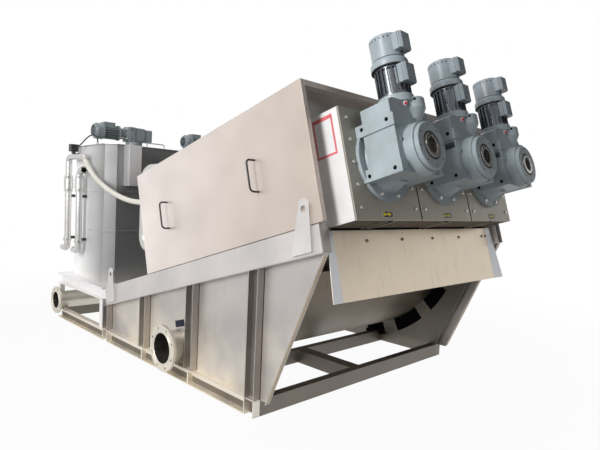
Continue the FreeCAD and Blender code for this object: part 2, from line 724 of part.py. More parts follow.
def gear_boss(y):
    """Round boss at the top of the case's front, running out into its face."""
    tall = rod((BOSS_U, y + BOSS_Y, BOSS_SIDE_W), (0, 0, 1), BOSS_RADIUS, BOSS_TOP_W - BOSS_SIDE_W)
    tall = tall.makeFillet(BOSS_ROUND, edges_above(tall, BOSS_SIDE_W + 1))
    foot = Part.makeCone(BOSS_FOOT_RADIUS, BOSS_RADIUS, BOSS_SIDE_W - BOSS_FOOT_W,
                         Vector(BOSS_U, y + BOSS_Y, BOSS_FOOT_W), Vector(0, 0, 1))
    return [tall, foot]


def gear_pads(y):
    """Foot pads along both sides of the case, and the blind holes in them."""
    pads = []
    holes = []
    for side in (-1, 1):
        face_y = y + side * GEAR_HALF_WIDTH
        inner_y = face_y - side * PAD_DEPTH
        for low, high in PAD_W:
            pads.append(box(PAD_U[0], PAD_U[1], min(face_y, inner_y), max(face_y, inner_y), low, high))
        for u in PAD_HOLE_U:
            for w in PAD_HOLE_W:
                holes.append(rod((u, face_y + side, w), (0, -side, 0), PAD_HOLE / 2, PAD_HOLE_DEPTH + 1))
    return pads, holes


def gearbox(y):
    """Right-angle gear unit: flange, cast case with foot pads, stepped hub and motor neck."""
    plate_front = BOX_FRONT_U + COVER_GAP + DRIVE_PLATE + COVER_GAP
    centre = Vector(plate_front, y, SCREW_W)
    flange = rod(centre, (1, 0, 0), FLANGE_RADIUS, FLANGE_THICKNESS)
    forward = Vector(1, 0, 0)
    neck = Part.makeCone(FLANGE_NECK_RADIUS, FLANGE_NECK_END_RADIUS, FLANGE_NECK_LENGTH, centre, forward)
    base = Part.makeCone(HUB_BASE_RADIUS + HUB_CHAMFER, HUB_BASE_RADIUS, HUB_BASE_FRONT_U - GEAR_FRONT_U + 1,
                         Vector(GEAR_FRONT_U - 1, y, SCREW_W), forward)
    hub = rod((GEAR_FRONT_U, y, SCREW_W), (1, 0, 0), HUB_RADIUS, HUB_FRONT_U - GEAR_FRONT_U)
    hub = hub.makeChamfer(HUB_CHAMFER, [edge for edge in hub.Edges if edge.BoundBox.XMin > HUB_FRONT_U - 1])
    recess_u = HUB_FRONT_U - HUB_RECESS_DEPTH
    recess = rod((recess_u, y, SCREW_W), (1, 0, 0), HUB_RECESS_RADIUS, 2 * HUB_RECESS_DEPTH)
    motor_seat = rod((MOTOR_U, y, GEAR_TOP_W - 1), (0, 0, 1), MOTOR_NECK_RADIUS, MOTOR_NECK + 1)
    bore = rod((plate_front - 1, y, SCREW_W), (1, 0, 0), HOLLOW_SHAFT / 2 + SHAFT_CLEARANCE, LONG)
    pads, holes = gear_pads(y)
    solid = fuse([flange, neck, base, hub, motor_seat] + gear_case(y) + gear_boss(y) + pads)
    return tilt(cut(solid, [recess, bore] + holes))


def screw_shaft(y):
    """Hollow output shaft, which turns with the screw."""
    length = HOLLOW_SHAFT_FRONT_U - HOLLOW_SHAFT_BACK_U
    depth_u = HOLLOW_SHAFT_FRONT_U - SHAFT_BORE_DEPTH
    shaft = rod((HOLLOW_SHAFT_BACK_U, y, SCREW_W), (1, 0, 0), HOLLOW_SHAFT / 2, length)
    bore = rod((depth_u, y, SCREW_W), (1, 0, 0), SHAFT_BORE / 2, SHAFT_BORE_DEPTH + 1)
    keyway = box(depth_u, HOLLOW_SHAFT_FRONT_U + 1, y - KEYWAY_WIDTH / 2, y + KEYWAY_WIDTH / 2,
                 SCREW_W, SCREW_W + SHAFT_BORE / 2 + KEYWAY_DEPTH)
    return tilt(cut(shaft, [bore, keyway]))


def motor(y):
    """Finned motor body with its terminal box."""
    w0 = GEAR_TOP_W + MOTOR_NECK + COVER_GAP
    solids = [rod((0, 0, 0), (0, 0, 1), MOTOR_RADIUS - MOTOR_FIN_DEPTH, MOTOR_LENGTH)]
    for end in (0, MOTOR_LENGTH - MOTOR_END_RING):
        solids.append(rod((0, 0, end), (0, 0, 1), MOTOR_RADIUS, MOTOR_END_RING))
    body = fuse(solids + fins(MOTOR_FINS, MOTOR_RADIUS, MOTOR_FIN_DEPTH, MOTOR_FIN_WIDTH, MOTOR_LENGTH))
    body.translate(Vector(MOTOR_U, y, w0))
    terminals = chamfered_box(TERMINAL_BOX_BACK_U, TERMINAL_BOX_FRONT_U, y, TERMINAL_BOX_HALF,
                              TERMINAL_BOX_W[0], TERMINAL_BOX_W[1], TERMINAL_BOX_CHAMFER)
    return tilt(fuse([body, terminals]))


def fan_cowl(y):
    """Rounded cowl behind the motor, with the forced fan and its terminal box."""
    w0 = GEAR_TOP_W + MOTOR_NECK + MOTOR_LENGTH + 2 * COVER_GAP
    axis = Vector(MOTOR_U, y, 0)
    up = Vector(0, 0, 1)
    cowl = rod(axis + up * w0, up, COWL_BASE_RADIUS, COWL_LENGTH)
    cowl = cowl.makeFillet(COWL_ROUND, edges_above(cowl, w0 + 1))
    fan = rod(axis + up * (w0 + COWL_LENGTH - 1), up, FAN_RADIUS, FAN_LENGTH + 1)
    fan = fan.makeFillet(FAN_ROUND, edges_above(fan, w0 + COWL_LENGTH + 1))
    terminals = chamfered_box(TERMINAL_BOX_BACK_U, FAN_BOX_FRONT_U, y, FAN_BOX_HALF,
                              FAN_BOX_W[0], FAN_BOX_W[1], TERMINAL_BOX_CHAMFER)
    return tilt(fuse([cowl, fan, terminals]))


def discharge_chute():
    """Plate bolted to the end plate below the drive box, with a wing folded forward at each side."""
    front = END_PLATE_U + COVER_SHEET + COVER_GAP
    h = CHUTE_HALF_WIDTH
    lean = (CHUTE_SHEET, 0, 0)
    centre = prism([(front, -h, CHUTE_TOP_W), (front, h, CHUTE_TOP_W), (front, h, CHUTE_FOOT_W),
                    (front, -h, CHUTE_FOOT_W)], lean)
    foot = CHUTE_WING_FORWARD
    top = foot * CHUTE_WING_TOP / CHUTE_WING_FOOT
    wing = prism([(front, -h, CHUTE_TOP_W), (front, -h, CHUTE_FOOT_W),
                  (front + foot, -h - CHUTE_WING_FOOT, CHUTE_FOOT_W),
                  (front + top, -h - CHUTE_WING_TOP, CHUTE_TOP_W)], lean)
    return tilt(fuse([centre, wing, mirror_y(wing)]))


def platform_beams():
    """Channels under the tank on four posts at each end."""
    z0 = PLATFORM_TOP - DECK_SHEET - PLATFORM_CHANNEL
    near = side_channel(SKID_START_X, PLATFORM_END_X, z0, PLATFORM_CHANNEL)
    legs = []
    inner_leg_x = PLATFORM_END_X - CROSS_MEMBER_WIDTH
    for x, width in ((SKID_START_X, END_MEMBER_WIDTH), (inner_leg_x, CROSS_MEMBER_WIDTH)):
        legs.append(box(x, x + width, -SIDE_Y + POST_WALL, -WALL_Y, CHANNEL_HEIGHT, z0))
    side = fuse([near] + legs)
    ends = []
    for x in (SKID_START_X, PLATFORM_END_X - END_MEMBER_WIDTH):
        ends.append(box(x, x + END_MEMBER_WIDTH, -WALL_Y, WALL_Y, z0, z0 + PLATFORM_CHANNEL))
    return fuse([side, mirror_y(side)] + ends)


def platform_deck():
    underside = PLATFORM_TOP - DECK_SHEET + COVER_GAP
    return box(SKID_START_X, PLATFORM_END_X, -SIDE_Y, SIDE_Y, underside, PLATFORM_TOP)


def tank_outline(x0, x1, half, chamfer, z):
    return [(x0 + chamfer, -half, z), (x1 - chamfer, -half, z), (x1, -half + chamfer, z),
            (x1, half - chamfer, z), (x1 - chamfer, half, z), (x0 + chamfer, half, z),
            (x0, half - chamfer, z), (x0, -half + chamfer, z)]


def grown_outline(grow, z):
    """The tank's outline, moved out by a distance."""
    return tank_outline(TANK_START_X - grow, TANK_END_X + grow, TANK_HALF_WIDTH + grow,
                        TANK_CHAMFER + CHAMFER_OFFSET * grow, z)


def flocculation_tank():
    """Open-topped tank with cut-off corners and two bands round it."""
    bottom = PLATFORM_TOP + COVER_GAP
    height = TANK_TOP - LID_SHEET - bottom
    outer = prism(grown_outline(0.0, bottom), (0, 0, height))
    inner = prism(grown_outline(-TANK_SHEET, bottom + TANK_SHEET), (0, 0, height))
    bands = [prism(grown_outline(TANK_SHEET, z), (0, 0, TANK_BAND_HEIGHT)) for z in TANK_BAND_Z]
    return fuse([outer] + bands).cut(inner)


def tank_lid():
    """Lid on the tank, with a handle and the gland that takes the valve's cable."""
    z = TANK_TOP - LID_SHEET + COVER_GAP
    lid = prism(grown_outline(LID_OVERHANG, z), (0, 0, LID_SHEET))
    gland_y = -TANK_HALF_WIDTH + CABLE_GLAND_INSET
    gland = rod((CABLE_GLAND_X, gland_y, z), (0, 0, 1), CABLE_GLAND / 2, TANK_TOP + CABLE_GLAND_RISE - z)
    grip = handle(HANDLE_LENGTH, LID_HANDLE_REACH)
    grip.rotate(Vector(0, 0, 0), Vector(1, 0, 0), -90)
    grip.translate(Vector(LID_HANDLE_X, LID_HANDLE_Y - HANDLE_LENGTH / 2, z + LID_SHEET - 1))
    return fuse([lid, gland, grip])


def overflow_box():
    """Box on the tank's front that covers the overflow."""
    x = TANK_END_X + COVER_GAP
    top = TANK_TOP - LID_SHEET - OVERFLOW_TOP_GAP
    half = OVERFLOW_WIDTH / 2
    return box(x, x + OVERFLOW_DEPTH, OVERFLOW_Y - half, OVERFLOW_Y + half, OVERFLOW_BOTTOM, top)


def agitator_gear():
    """Gear case along Y round the origin, with a drilled pad on each side at its motor end."""
    half = AGITATOR_GEAR_WIDTH / 2
    length = AGITATOR_GEAR_LENGTH / 2
    step = length - AGITATOR_GEAR_STEP
    low = half - AGITATOR_GEAR_STEP_DROP
    case = box(-half, half, -length, step, -half, half)
    case = case.makeFillet(AGITATOR_GEAR_CORNER, long_edges(case, Vector(0, 1, 0)))
    end = box(-low, low, step - 1, length, -low, low)
    end = end.makeFillet(AGITATOR_GEAR_CORNER, long_edges(end, Vector(0, 1, 0)))
    reach = half + AGITATOR_PAD_RISE
    pad = box(-reach, reach, -length, -length + AGITATOR_PAD_LENGTH, -half, half)
    holes = []
    for z in (-half + AGITATOR_PAD_HOLE_INSET, half - AGITATOR_PAD_HOLE_INSET):
        start = (-reach - 1, -length + AGITATOR_PAD_LENGTH / 2, z)
        holes.append(rod(start, (1, 0, 0), AGITATOR_PAD_HOLE / 2, 2 * reach + 2))
    return cut(fuse([case, end, pad]), holes)


def agitator_motor():
    """Motor along -Y from the origin: adapter, finned body, terminal box and tapered cowl."""
    body_start = AGITATOR_ADAPTER_LENGTH
    cowl_start = body_start + AGITATOR_MOTOR_LENGTH
    cowl_end = cowl_start + AGITATOR_COWL_LENGTH
    up = (0, 0, 1)
    ring = fins(AGITATOR_FINS, AGITATOR_MOTOR_RADIUS, AGITATOR_FIN_DEPTH, AGITATOR_FIN_WIDTH,
                AGITATOR_MOTOR_LENGTH + 1)
    for fin in ring:
        fin.translate(Vector(0, 0, body_start))
    rim = AGITATOR_ADAPTER_RIM
    core = AGITATOR_MOTOR_RADIUS - AGITATOR_FIN_DEPTH
    solids = [rod((0, 0, -1), up, AGITATOR_ADAPTER_RADIUS, rim + 1),
              rod((0, 0, 0), up, AGITATOR_ADAPTER_WAIST, body_start + 1),
              rod((0, 0, body_start - rim), up, AGITATOR_ADAPTER_RADIUS, rim),
              rod((0, 0, body_start), up, core, AGITATOR_MOTOR_LENGTH + 1),
              rod((0, 0, cowl_start), up, AGITATOR_COWL_RADIUS, AGITATOR_COWL_LENGTH),
              Part.makeCone(AGITATOR_COWL_RADIUS, AGITATOR_COWL_END_RADIUS, AGITATOR_COWL_TAPER,
                            Vector(0, 0, cowl_end), Vector(*up)),
              box(-AGITATOR_BOX_WIDTH / 2, AGITATOR_BOX_WIDTH / 2,
                  0, AGITATOR_MOTOR_RADIUS + AGITATOR_BOX_RISE,
                  cowl_start - AGITATOR_BOX_LENGTH, cowl_start + 1)]
    body = fuse(solids + ring)
    body.rotate(Vector(0, 0, 0), Vector(1, 0, 0), 90)
    return body


def agitator_drive(y):
    """Gear motor lying along Y on the lid, its shaft going down into the tank."""
    foot_z = TANK_TOP + 2 * COVER_GAP
    axis_z = TANK_TOP + AGITATOR_AXIS_RISE
    x = AGITATOR_X
    gear = agitator_gear()
    gear.translate(Vector(x, y, axis_z))
    machine = agitator_motor()
    machine.translate(Vector(x, y - AGITATOR_GEAR_LENGTH / 2, axis_z))
    seat = (x, y - AGITATOR_PEDESTAL_SHIFT, foot_z)
    foot = rod(seat, (0, 0, 1), AGITATOR_FOOT_RADIUS, AGITATOR_FOOT_THICKNESS)
    pedestal = rod(seat, (0, 0, 1), AGITATOR_PEDESTAL_RADIUS, axis_z - AGITATOR_GEAR_WIDTH / 2 - foot_z + 1)
    return fuse([gear, machine, foot, pedestal])


def flange_holes(x, z, bolt_circle, face_y):
    holes = []
    for index in range(PIPE_FLANGE_BOLTS):
        a = 2 * pi * (index + 0.5) / PIPE_FLANGE_BOLTS
        place = (x + bolt_circle / 2 * cos(a), face_y - 1, z + bolt_circle / 2 * sin(a))
        holes.append(rod(place, (0, 1, 0), PIPE_FLANGE_BOLT_HOLE / 2, PIPE_FLANGE_THICKNESS + 2))
    return holes


def outlet_pipe():
    """Straight outlet from the trough, with its bolted flange."""
    length = -TROUGH_Y - COVER_GAP - OUTLET_FACE_Y
    tube = rod((OUTLET_X, OUTLET_FACE_Y, OUTLET_Z), (0, 1, 0), OUTLET_PIPE / 2, length)
    disc = rod((OUTLET_X, OUTLET_FACE_Y, OUTLET_Z), (0, 1, 0), OUTLET_FLANGE / 2, PIPE_FLANGE_THICKNESS)
    bore_radius = OUTLET_PIPE / 2 - OUTLET_WALL
    bore = rod((OUTLET_X, OUTLET_FACE_Y - 1, OUTLET_Z), (0, 1, 0), bore_radius, length + 2)
    holes = flange_holes(OUTLET_X, OUTLET_Z, OUTLET_BOLT_CIRCLE, OUTLET_FACE_Y)
    return cut(fuse([tube, disc]), [bore] + holes)


def inlet_pipe():
    """Inlet from its flange under the tank, turning up into the tank's floor."""
    turn_y = INLET_FACE_Y + INLET_RUN
    top = PLATFORM_TOP - DECK_SHEET
    route = [(INLET_X, INLET_FACE_Y, INLET_Z), (INLET_X, turn_y, INLET_Z), (INLET_X, turn_y, top)]
    outer = bent_bar(route, (INLET_BEND,), INLET_PIPE)
    inner = bent_bar(route, (INLET_BEND,), INLET_PIPE - 2 * INLET_WALL)
    disc = rod((INLET_X, INLET_FACE_Y, INLET_Z), (0, 1, 0), INLET_FLANGE / 2, PIPE_FLANGE_THICKNESS)
    holes = flange_holes(INLET_X, INLET_Z, INLET_BOLT_CIRCLE, INLET_FACE_Y)
    return cut(fuse([outer, disc]), [inner] + holes)


def hose_start():
    """The hose's first two points, the barb's corner behind them and the barb's direction."""
    start = Vector(*HOSE_ROUTE[0])
    ahead = (Vector(*HOSE_ROUTE[1]) - start).normalize()
    return start, start - ahead * HOSE_BARB


def riser_pipes():
    """Two rinse water risers, each with a ball valve, on brackets from the tank."""
    start, corner = hose_start()
    routes = [[(RISER_X[0] - RISER_FOOT, RISER_Y, RISER_BOTTOM_Z), (RISER_X[0], RISER_Y, RISER_BOTTOM_Z),
               (RISER_X[0], RISER_Y, corner.z), tuple(corner), tuple(start)],
              [(RISER_X[1] - RISER_FOOT, RISER_Y, RISER_BOTTOM_Z), (RISER_X[1], RISER_Y, RISER_BOTTOM_Z),
               (RISER_X[1], RISER_Y, RISER_TOP_Z[1]), (RISER_X[1] + RISER_ARM, RISER_Y, RISER_TOP_Z[1])]]
    risers = []
    for x, route in zip(RISER_X, routes):
        run = bent_bar(route, (RISER_BEND,) * (len(route) - 2), RISER_PIPE)
        valve = rod((x, RISER_Y, VALVE_Z - VALVE_LENGTH / 2), (0, 0, 1), VALVE_BODY / 2, VALVE_LENGTH)
        arms = [box(x - CLAMP_WIDTH / 2, x + CLAMP_WIDTH / 2, RISER_Y, -TANK_HALF_WIDTH - COVER_GAP,
                    z - CLAMP_HEIGHT / 2, z + CLAMP_HEIGHT / 2) for z in CLAMP_Z]
        risers.append(run.fuse([valve] + arms))
    return Part.makeCompound(risers)


def solenoid_valve():
    """Valve body on the first riser's arm, with its square coil on top."""
    z = RISER_TOP_Z[0] + RISER_PIPE / 2 + COVER_GAP
    half = COIL_SIZE / 2
    body = rod((COIL_X, RISER_Y, z), (0, 0, 1), COIL_STEM / 2, COIL_Z - half - z + 1)
    coil = box(COIL_X - half, COIL_X + half, RISER_Y - half, RISER_Y + half, COIL_Z - half, COIL_Z + half)
    return fuse([body, coil])


def cord(name, points, diameter):
    """Straight runs joined by arcs as large as the shorter run beside each corner allows."""
    corners = [Vector(*point) for point in points]
    bends = []
    length = 0.0
    used = 0.0
    for before, corner, after in zip(corners, corners[1:], corners[2:]):
        back = before - corner
        ahead = after - corner
        reach = 0.45 * min(back.Length, ahead.Length)
        half_turn = (pi - back.getAngle(ahead)) / 2
        bends.append(reach / tan(half_turn))
        length += back.Length - used - reach + 2 * half_turn * bends[-1]
        used = reach
    length += (corners[-1] - corners[-2]).Length - used
    tube = bent_bar(points, bends, diameter)
    print("%s: arc radii %s mm" % (name, ", ".join("%.0f" % bend for bend in bends)))
    print("%s: length %.0f mm, volume over section times length %.4f"
          % (name, length, tube.Volume / (pi * diameter ** 2 / 4 * length)))
    return tube


def loop_pipe():
    """Pipe that leaves the tail plate low down, rises and turns over into the top cover."""
    top_w = COVER_TOP_W + 2 * COVER_GAP + COVER_SHEET
    reach = RAIL_FOOT_X + LONG
    route = [(reach, LOOP_Y, LOOP_BOTTOM_Z), (LOOP_X, LOOP_Y, LOOP_BOTTOM_Z), (LOOP_X, LOOP_Y, LOOP_TOP_Z),
             (LOOP_END_X, LOOP_Y, LOOP_TOP_Z), (LOOP_END_X, LOOP_Y, LOOP_BOTTOM_Z)]
    pipe = bent_bar(route, (LOOP_BEND,) * 3, LOOP_PIPE)
    behind_tail = tilt(box(COVER_START_U + COVER_FOLD - COVER_GAP, LONG, -LONG, LONG, -LONG, top_w))
    under_top = tilt(box(COVER_START_U - COVER_GAP, LONG, -LONG, LONG, COVER_TOP_W - COVER_FOLD, top_w))
    return cut(pipe, [behind_tail, under_top])


def pieces():
    """Every named piece of the machine."""
    named = {
        "skid_near_beam": skid_near_beam(),
        "skid_far_beam": mirror_y(skid_near_beam()),
        "skid_cross_members": skid_cross_members(),
        "side_posts": side_posts(),
        "near_side_wall": side_wall().cut(outlet_hole(OUTLET_PIPE + 2 * PIPE_HOLE_CLEARANCE)),
        "far_side_wall": mirror_y(side_wall()),
        "near_trough_plate": trough_side_plate().cut(outlet_hole(OUTLET_PIPE - 2 * OUTLET_WALL)),
        "far_trough_plate": mirror_y(trough_side_plate()),
        "trough_pan": trough_pan(),
        "near_rail": inclined_rail(),
        "far_rail": mirror_y(inclined_rail()),
        "lifting_lugs": lifting_lugs(),
        "near_cover": side_cover(),
        "far_cover": mirror_y(side_cover()),
        "top_cover": top_cover(),
        "cover_end_plate": cover_end_plate(),
        "cover_tail_plate": cover_tail_plate(),
        "cover_handles": cover_handles(),
        "drive_box": drive_box(),
        "drive_plates": drive_plates(),
        "discharge_chute": discharge_chute(),
        "platform_beams": platform_beams(),
        "platform_deck": platform_deck(),
        "flocculation_tank": flocculation_tank(),
        "tank_lid": tank_lid(),
        "overflow_box": overflow_box(),
        "outlet_pipe": outlet_pipe(),
        "inlet_pipe": inlet_pipe(),
        "riser_pipes": riser_pipes(),
        "solenoid_valve": solenoid_valve(),
        "loop_pipe": loop_pipe(),
        "wash_hose": cord("wash hose", HOSE_ROUTE, HOSE_DIAMETER),
        "valve_cable": cord("valve cable", CABLE_ROUTE, CABLE_DIAMETER),
    }
    for number, y in enumerate(SCREWS, start=1):
        named["gearbox_%d" % number] = gearbox(y)
        named["motor_%d" % number] = motor(y)
        named["fan_cowl_%d" % number] = fan_cowl(y)
        named["screw_shaft_%d" % number] = screw_shaft(y)
    for number, y in enumerate(AGITATOR_Y, start=1):
        named["agitator_drive_%d" % number] = agitator_drive(y)
    return named


def main():
    os.makedirs("parts", exist_ok=True)
    for name, shape in pieces().items():
        shape.exportStep("parts/%s.step" % name)
        solids = len(shape.Solids)
        print("%-20s solids %d valid %s volume %.4f m3" % (name, solids, shape.isValid(), shape.Volume / 1e9))


main()
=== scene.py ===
"""Looks of the screw press dewaterer: satin stainless sheets, painted gear motors, pipework and hoses.

Everything is in metres in the part's frame. The pieces on the incline are built flat, with u along
the incline, y across it and w square to it, and INCLINE_FRAME then turns them into place.
"""
import bmesh
import bpy
import json
import random
from math import cos, pi, radians, sin, sqrt
from mathutils import Matrix, Vector


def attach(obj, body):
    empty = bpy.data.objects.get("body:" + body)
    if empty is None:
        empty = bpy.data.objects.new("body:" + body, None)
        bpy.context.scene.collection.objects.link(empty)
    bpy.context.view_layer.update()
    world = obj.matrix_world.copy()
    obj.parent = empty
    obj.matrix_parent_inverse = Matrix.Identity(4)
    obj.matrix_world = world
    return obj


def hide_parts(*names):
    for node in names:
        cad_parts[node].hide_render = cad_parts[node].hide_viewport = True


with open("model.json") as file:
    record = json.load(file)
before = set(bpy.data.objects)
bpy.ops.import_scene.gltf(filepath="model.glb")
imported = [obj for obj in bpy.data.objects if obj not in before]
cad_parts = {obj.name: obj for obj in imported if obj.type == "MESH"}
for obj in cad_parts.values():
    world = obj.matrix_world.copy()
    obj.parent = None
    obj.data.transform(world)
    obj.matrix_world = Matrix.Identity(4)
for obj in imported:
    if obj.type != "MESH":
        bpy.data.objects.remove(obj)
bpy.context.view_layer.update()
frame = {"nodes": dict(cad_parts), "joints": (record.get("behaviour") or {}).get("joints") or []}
nodes = frame["nodes"]
BODY = "frame"
random.seed(4)

# Directions, in the part's frame and in the flat frame of the incline
ALONG = (1, 0, 0)
ACROSS = (0, 1, 0)
UP = (0, 0, 1)

# Smooth shading ends at this angle
SHARP_ANGLE = radians(30.0)

# A bolt's washer and head as shares of its size across the flats, and its top as a share of its corner
WASHER_HEIGHT = 0.12
WASHER_RADIUS = 0.66
HEAD_HEIGHT = 0.32
HEAD_TAPER = 0.08
HEAD_TOP = 0.82

# Camera of the photograph, with its focal length in pixels of a 600 pixel wide picture
CAMERA_PLACE = (3.797, -2.926, 1.280)
CAMERA_YAW = radians(45.46)
CAMERA_PITCH = radians(-2.66)
CAMERA_ROLL = radians(2.43)
FOCAL_PIXELS = 508.6
PICTURE_WIDTH = 600.0
SENSOR_WIDTH = 36.0

# Surroundings that light and colour the metal
AMBIENT = 0.2
FLOOR_GLOW = 0.96
FLOOR_GREY = 0.4
FLOOR_SIZE = 40.0
FLOOR_Z = -0.002
CLEAR_FLOOR = (2.5, 5.0)
CARD_GREY = 0.05
# Pale warm colour near the floor: dusting, and a painted reflection of the floor
DUST_AND_REFLECTION_COLOUR = (0.84, 0.76, 0.62)
EDGE_WEAR_AND_HIGHLIGHT = (0.92, 0.91, 0.89)
OLD_DRIPS = (0.3, 0.29, 0.26)
NOISE_ROUGHNESS = 0.55
ORANGE_PEEL = 0.25

# Incline, read from the first screw's joint, which lies on its shaft's front face
SHAFT_FRONT_U = 3.078
SCREW_W = 0.465
SCREW_Y = (-0.61, 0.0, 0.61)

# Drive box, its front plates and the discharge chute
BOX_HALF = 0.915
BOX_BOTTOM_W = 0.141
BOX_BACK_U = 2.5433
BOX_FRONT_U = 2.736
PLATE_FRONT_U = 2.7483
PLATE_WIDTH = 0.61
PLATE_W = (0.150, 0.745)
PLATE_JOINT_HALF = 0.0035
PLATE_JOINT_DEPTH = 0.002
PLATE_JOINT_PROUD = 0.0004
PLATE_BOLT_INSET = 0.052
PLATE_BOLT_W = (0.208, 0.331, 0.454, 0.577, 0.699)
ARROW_Y = (-0.640, 0.0, 0.620)
ARROW_W = 0.174
ARROW_LENGTH = 0.100
ARROW_HEIGHT = 0.040
ARROW_EDGE = 0.006
ARROW_LAYERS = (0.0006, 0.0005, 0.0004)
ARROW_SHAFT_Y = (-0.040, 0.006)
ARROW_SHAFT_HALF = 0.0045
ARROW_FIN_Y = (-0.043, -0.027)
ARROW_FIN_W = 0.007
ARROW_FIN_HALF = 0.004
ARROW_TIP = 0.026
LABEL_POINT = 0.98
NOTICE_U = (2.552, 2.698)
NOTICE_W = (0.512, 0.733)
NOTICE_BORDER = 0.012
NOTICE_HEAD = 0.022
NOTICE_EDGE_SKIN = 0.0008
NOTICE_SHEET_SKIN = 0.0014
CHUTE_FRONT_U = 2.5473
CHUTE_BOLT_Y = (-0.603, -0.248, 0.107, 0.462, 0.817, 0.876)
CHUTE_BOLT_W = 0.065
M10_HEAD = 0.016
# Ring of painted shadow round each plate bolt: its radius and thickness
BOLT_SHADOW_RADIUS = 0.0132
BOLT_SHADOW_THICKNESS = 0.0003
M12_HEAD = 0.019
# Painted shade sheet under the box's floor: its thickness and insets
UNDERSIDE_SHADE_THICKNESS = 0.0008
UNDERSIDE_SHADE_BACK = 0.002
UNDERSIDE_SHADE_EDGE = 0.001
DRAIN_BACK = 0.004
DRAIN_HALF = 0.030
DRAIN_DEPTH = 0.0016
LIP_PLACE = 0.032
LIP_HALF = 0.002
LIP_DEPTH = 0.009
CHUTE_HALF = 0.89
CHUTE_W = (-0.2615, 0.1275)
# Painted shadow line between the chute and the box's floor
CHUTE_SHADOW_W = (CHUTE_W[1] + 0.0005, BOX_BOTTOM_W - 0.001)
CHUTE_SHADOW_DEPTH = 0.003
WING_TOP = 0.055
WING_FOOT = 0.1
WING_FORWARD = 0.02
WING_SKIN = 0.001
WING_EDGE = 0.0015

# Rails and the windows of the trough
SIDE_Y = 1.045
RAIL_END_U = 2.6
RAIL_DEPTH = 0.07
RAIL_HEIGHT = 0.16
RAIL_CLEARANCE = 0.002
CAP_INSET = 0.002
CAP_THICKNESS = 0.0012
CAP_BEVEL = 0.0004
TROUGH_CENTRE = (0.7, 1.11)
# Painted shade behind the trough's windows: its place, radii, start, sweep, thickness and steps
SHADE_Y = 0.9585
SHADE_RADII = (0.967, 1.084)
SHADE_START = radians(6.5)
SHADE_ANGLE = radians(68.0)
SHADE_THICKNESS = 0.0016
SHADE_STEPS = 48

# Gear units
GEAR_HALF = 0.195
CASE_HALF = 0.186
GEAR_FRONT_U = 2.99
GEAR_FLANGE_FRONT_U = 2.7706
FLANGE_BOLT_RADIUS = 0.2
FLANGE_BOLT_ANGLES = (radians(-115.0), radians(-70.0))
PAD_HOLE_U = (2.792, 2.955)
PAD_HOLE_W = (0.365, 0.620)
PAD_HOLE_RADIUS = 0.011
PAD_HOLE_DEPTH = 0.004
PAD_HOLE_GAP = 0.0002
PAD_HOLE_FLOOR = 0.0015
HUB_FRONT_U = 3.073
HUB_SCREW_RADIUS = 0.108
HUB_SCREWS = 8
HUB_SCREW_START = radians(6)
HUB_SCREW_HOLE = 0.0042
HUB_SCREW_DEPTH = 0.0005
HUB_RECESS_RADIUS = 0.079
HUB_RECESS_DEPTH = 0.005
HOLLOW_SHAFT_RADIUS = 0.065
SHAFT_SEAL_THICKNESS = 0.0035
SHAFT_SEAL_GAPS = (0.001, 0.0006)
BOSS_U = 2.964
BOSS_Y = 0.062
BOSS_RADIUS = 0.07
BOSS_EYE_W = 0.744
BOSS_EYE_AWAY = Vector((0.72, -0.69, 0))
BOSS_EYE_RADIUS = 0.008
BOSS_EYE_DEPTH = 0.0012
BOSS_EYE_SINK = 0.0005
BREATHER_Y = -0.032
BREATHER_W = 0.722
BREATHER_AWAY = Vector((0.8, -0.6, 0))
BREATHER_SINK = 0.014
BREATHER_RADIUS = 0.014
BREATHER_COLLAR = 0.016
BREATHER_CAP = (0.009, 0.010, 0.007)
BREATHER_CAP_SHIFT = Vector((0, 0.004, -0.003))
OIL_PLUGS = ((-0.143, 0.508, 0.011), (-0.134, 0.462, 0.008))
PLUG_HEIGHT = 0.006
SOCKET_SHARE = 0.6
SOCKET_DEPTH = 0.0004
CAST_BAR_Y = (-0.132, -0.098)
CAST_BAR_W = (0.540, 0.546)
CAST_BAR_HEIGHT = 0.003
CAST_BAR_BEVEL = 0.001
BLANK_PLATE_U = (2.895, 2.983)
BLANK_PLATE_W = (0.531, 0.566)
BLANK_PLATE_THICKNESS = 0.0012
BLANK_PLATE_BEVEL = 0.0004

# Motors: their terminal boxes run from their back to their front along u
MOTOR_U = 2.91
MOTOR_TOP_W = 0.9446
COWL_BASE_RADIUS = 0.104
FAN_RADIUS = 0.09
FAN_FOOT_W = 0.9966
FAN_TOP_W = 1.1286
FAN_OPENING = 0.076
FAN_GUARD_RADII = (0.018, 0.034, 0.050, 0.066)
FAN_WIRE = 0.0018
FAN_WIRE_RISE = 0.002
FAN_SPOKE = (0.002, 0.078)
FAN_SPOKE_RISE = 0.003
FAN_AIR_HOLES = 24
FAN_AIR_HOLE = (0.0042, 0.001)
FAN_AIR_HOLE_DROP = 0.022
FAN_AIR_HOLE_SINK = 0.0004
FAN_JOINT = 0.0014
OPENING_DISC = 0.0006
COWL_SEAL_INNER = 0.080
COWL_SEAL_HEIGHT = 0.006
COWL_SEAL_SINK = 0.0015
COWL_SEAL_PROUD = 0.0008
BOX_CHAMFER = 0.014
TERMINAL_BOX_BACK_U = 2.96
TERMINAL_BOX_FRONT_U = 3.034
TERMINAL_BOX_HALF = 0.052
TERMINAL_BOX_W = (0.836, 0.937)
FAN_BOX_FRONT_U = 3.04
FAN_BOX_HALF = 0.05
FAN_BOX_W = (1.021, 1.112)
SKIN = 0.0007
LID_JOINT_BACK = 0.006
LID_JOINT_WIDTH = 0.0018
LID_SCREW_Y = 0.007
LID_SCREW_W = 0.010
LID_SCREW_RADIUS = 0.0036
LID_SCREW_HEIGHT = 0.0008
GLAND_U = 2.992
GLAND_Y = 0.022
GLAND_DROP = 0.010
GLAND_NUT = (0.010, 0.011)
GLAND_TAIL = (0.006, 0.011, 0.008)
FAN_GLAND_U = 3.0
FAN_GLAND_NUT = (0.009, 0.011)

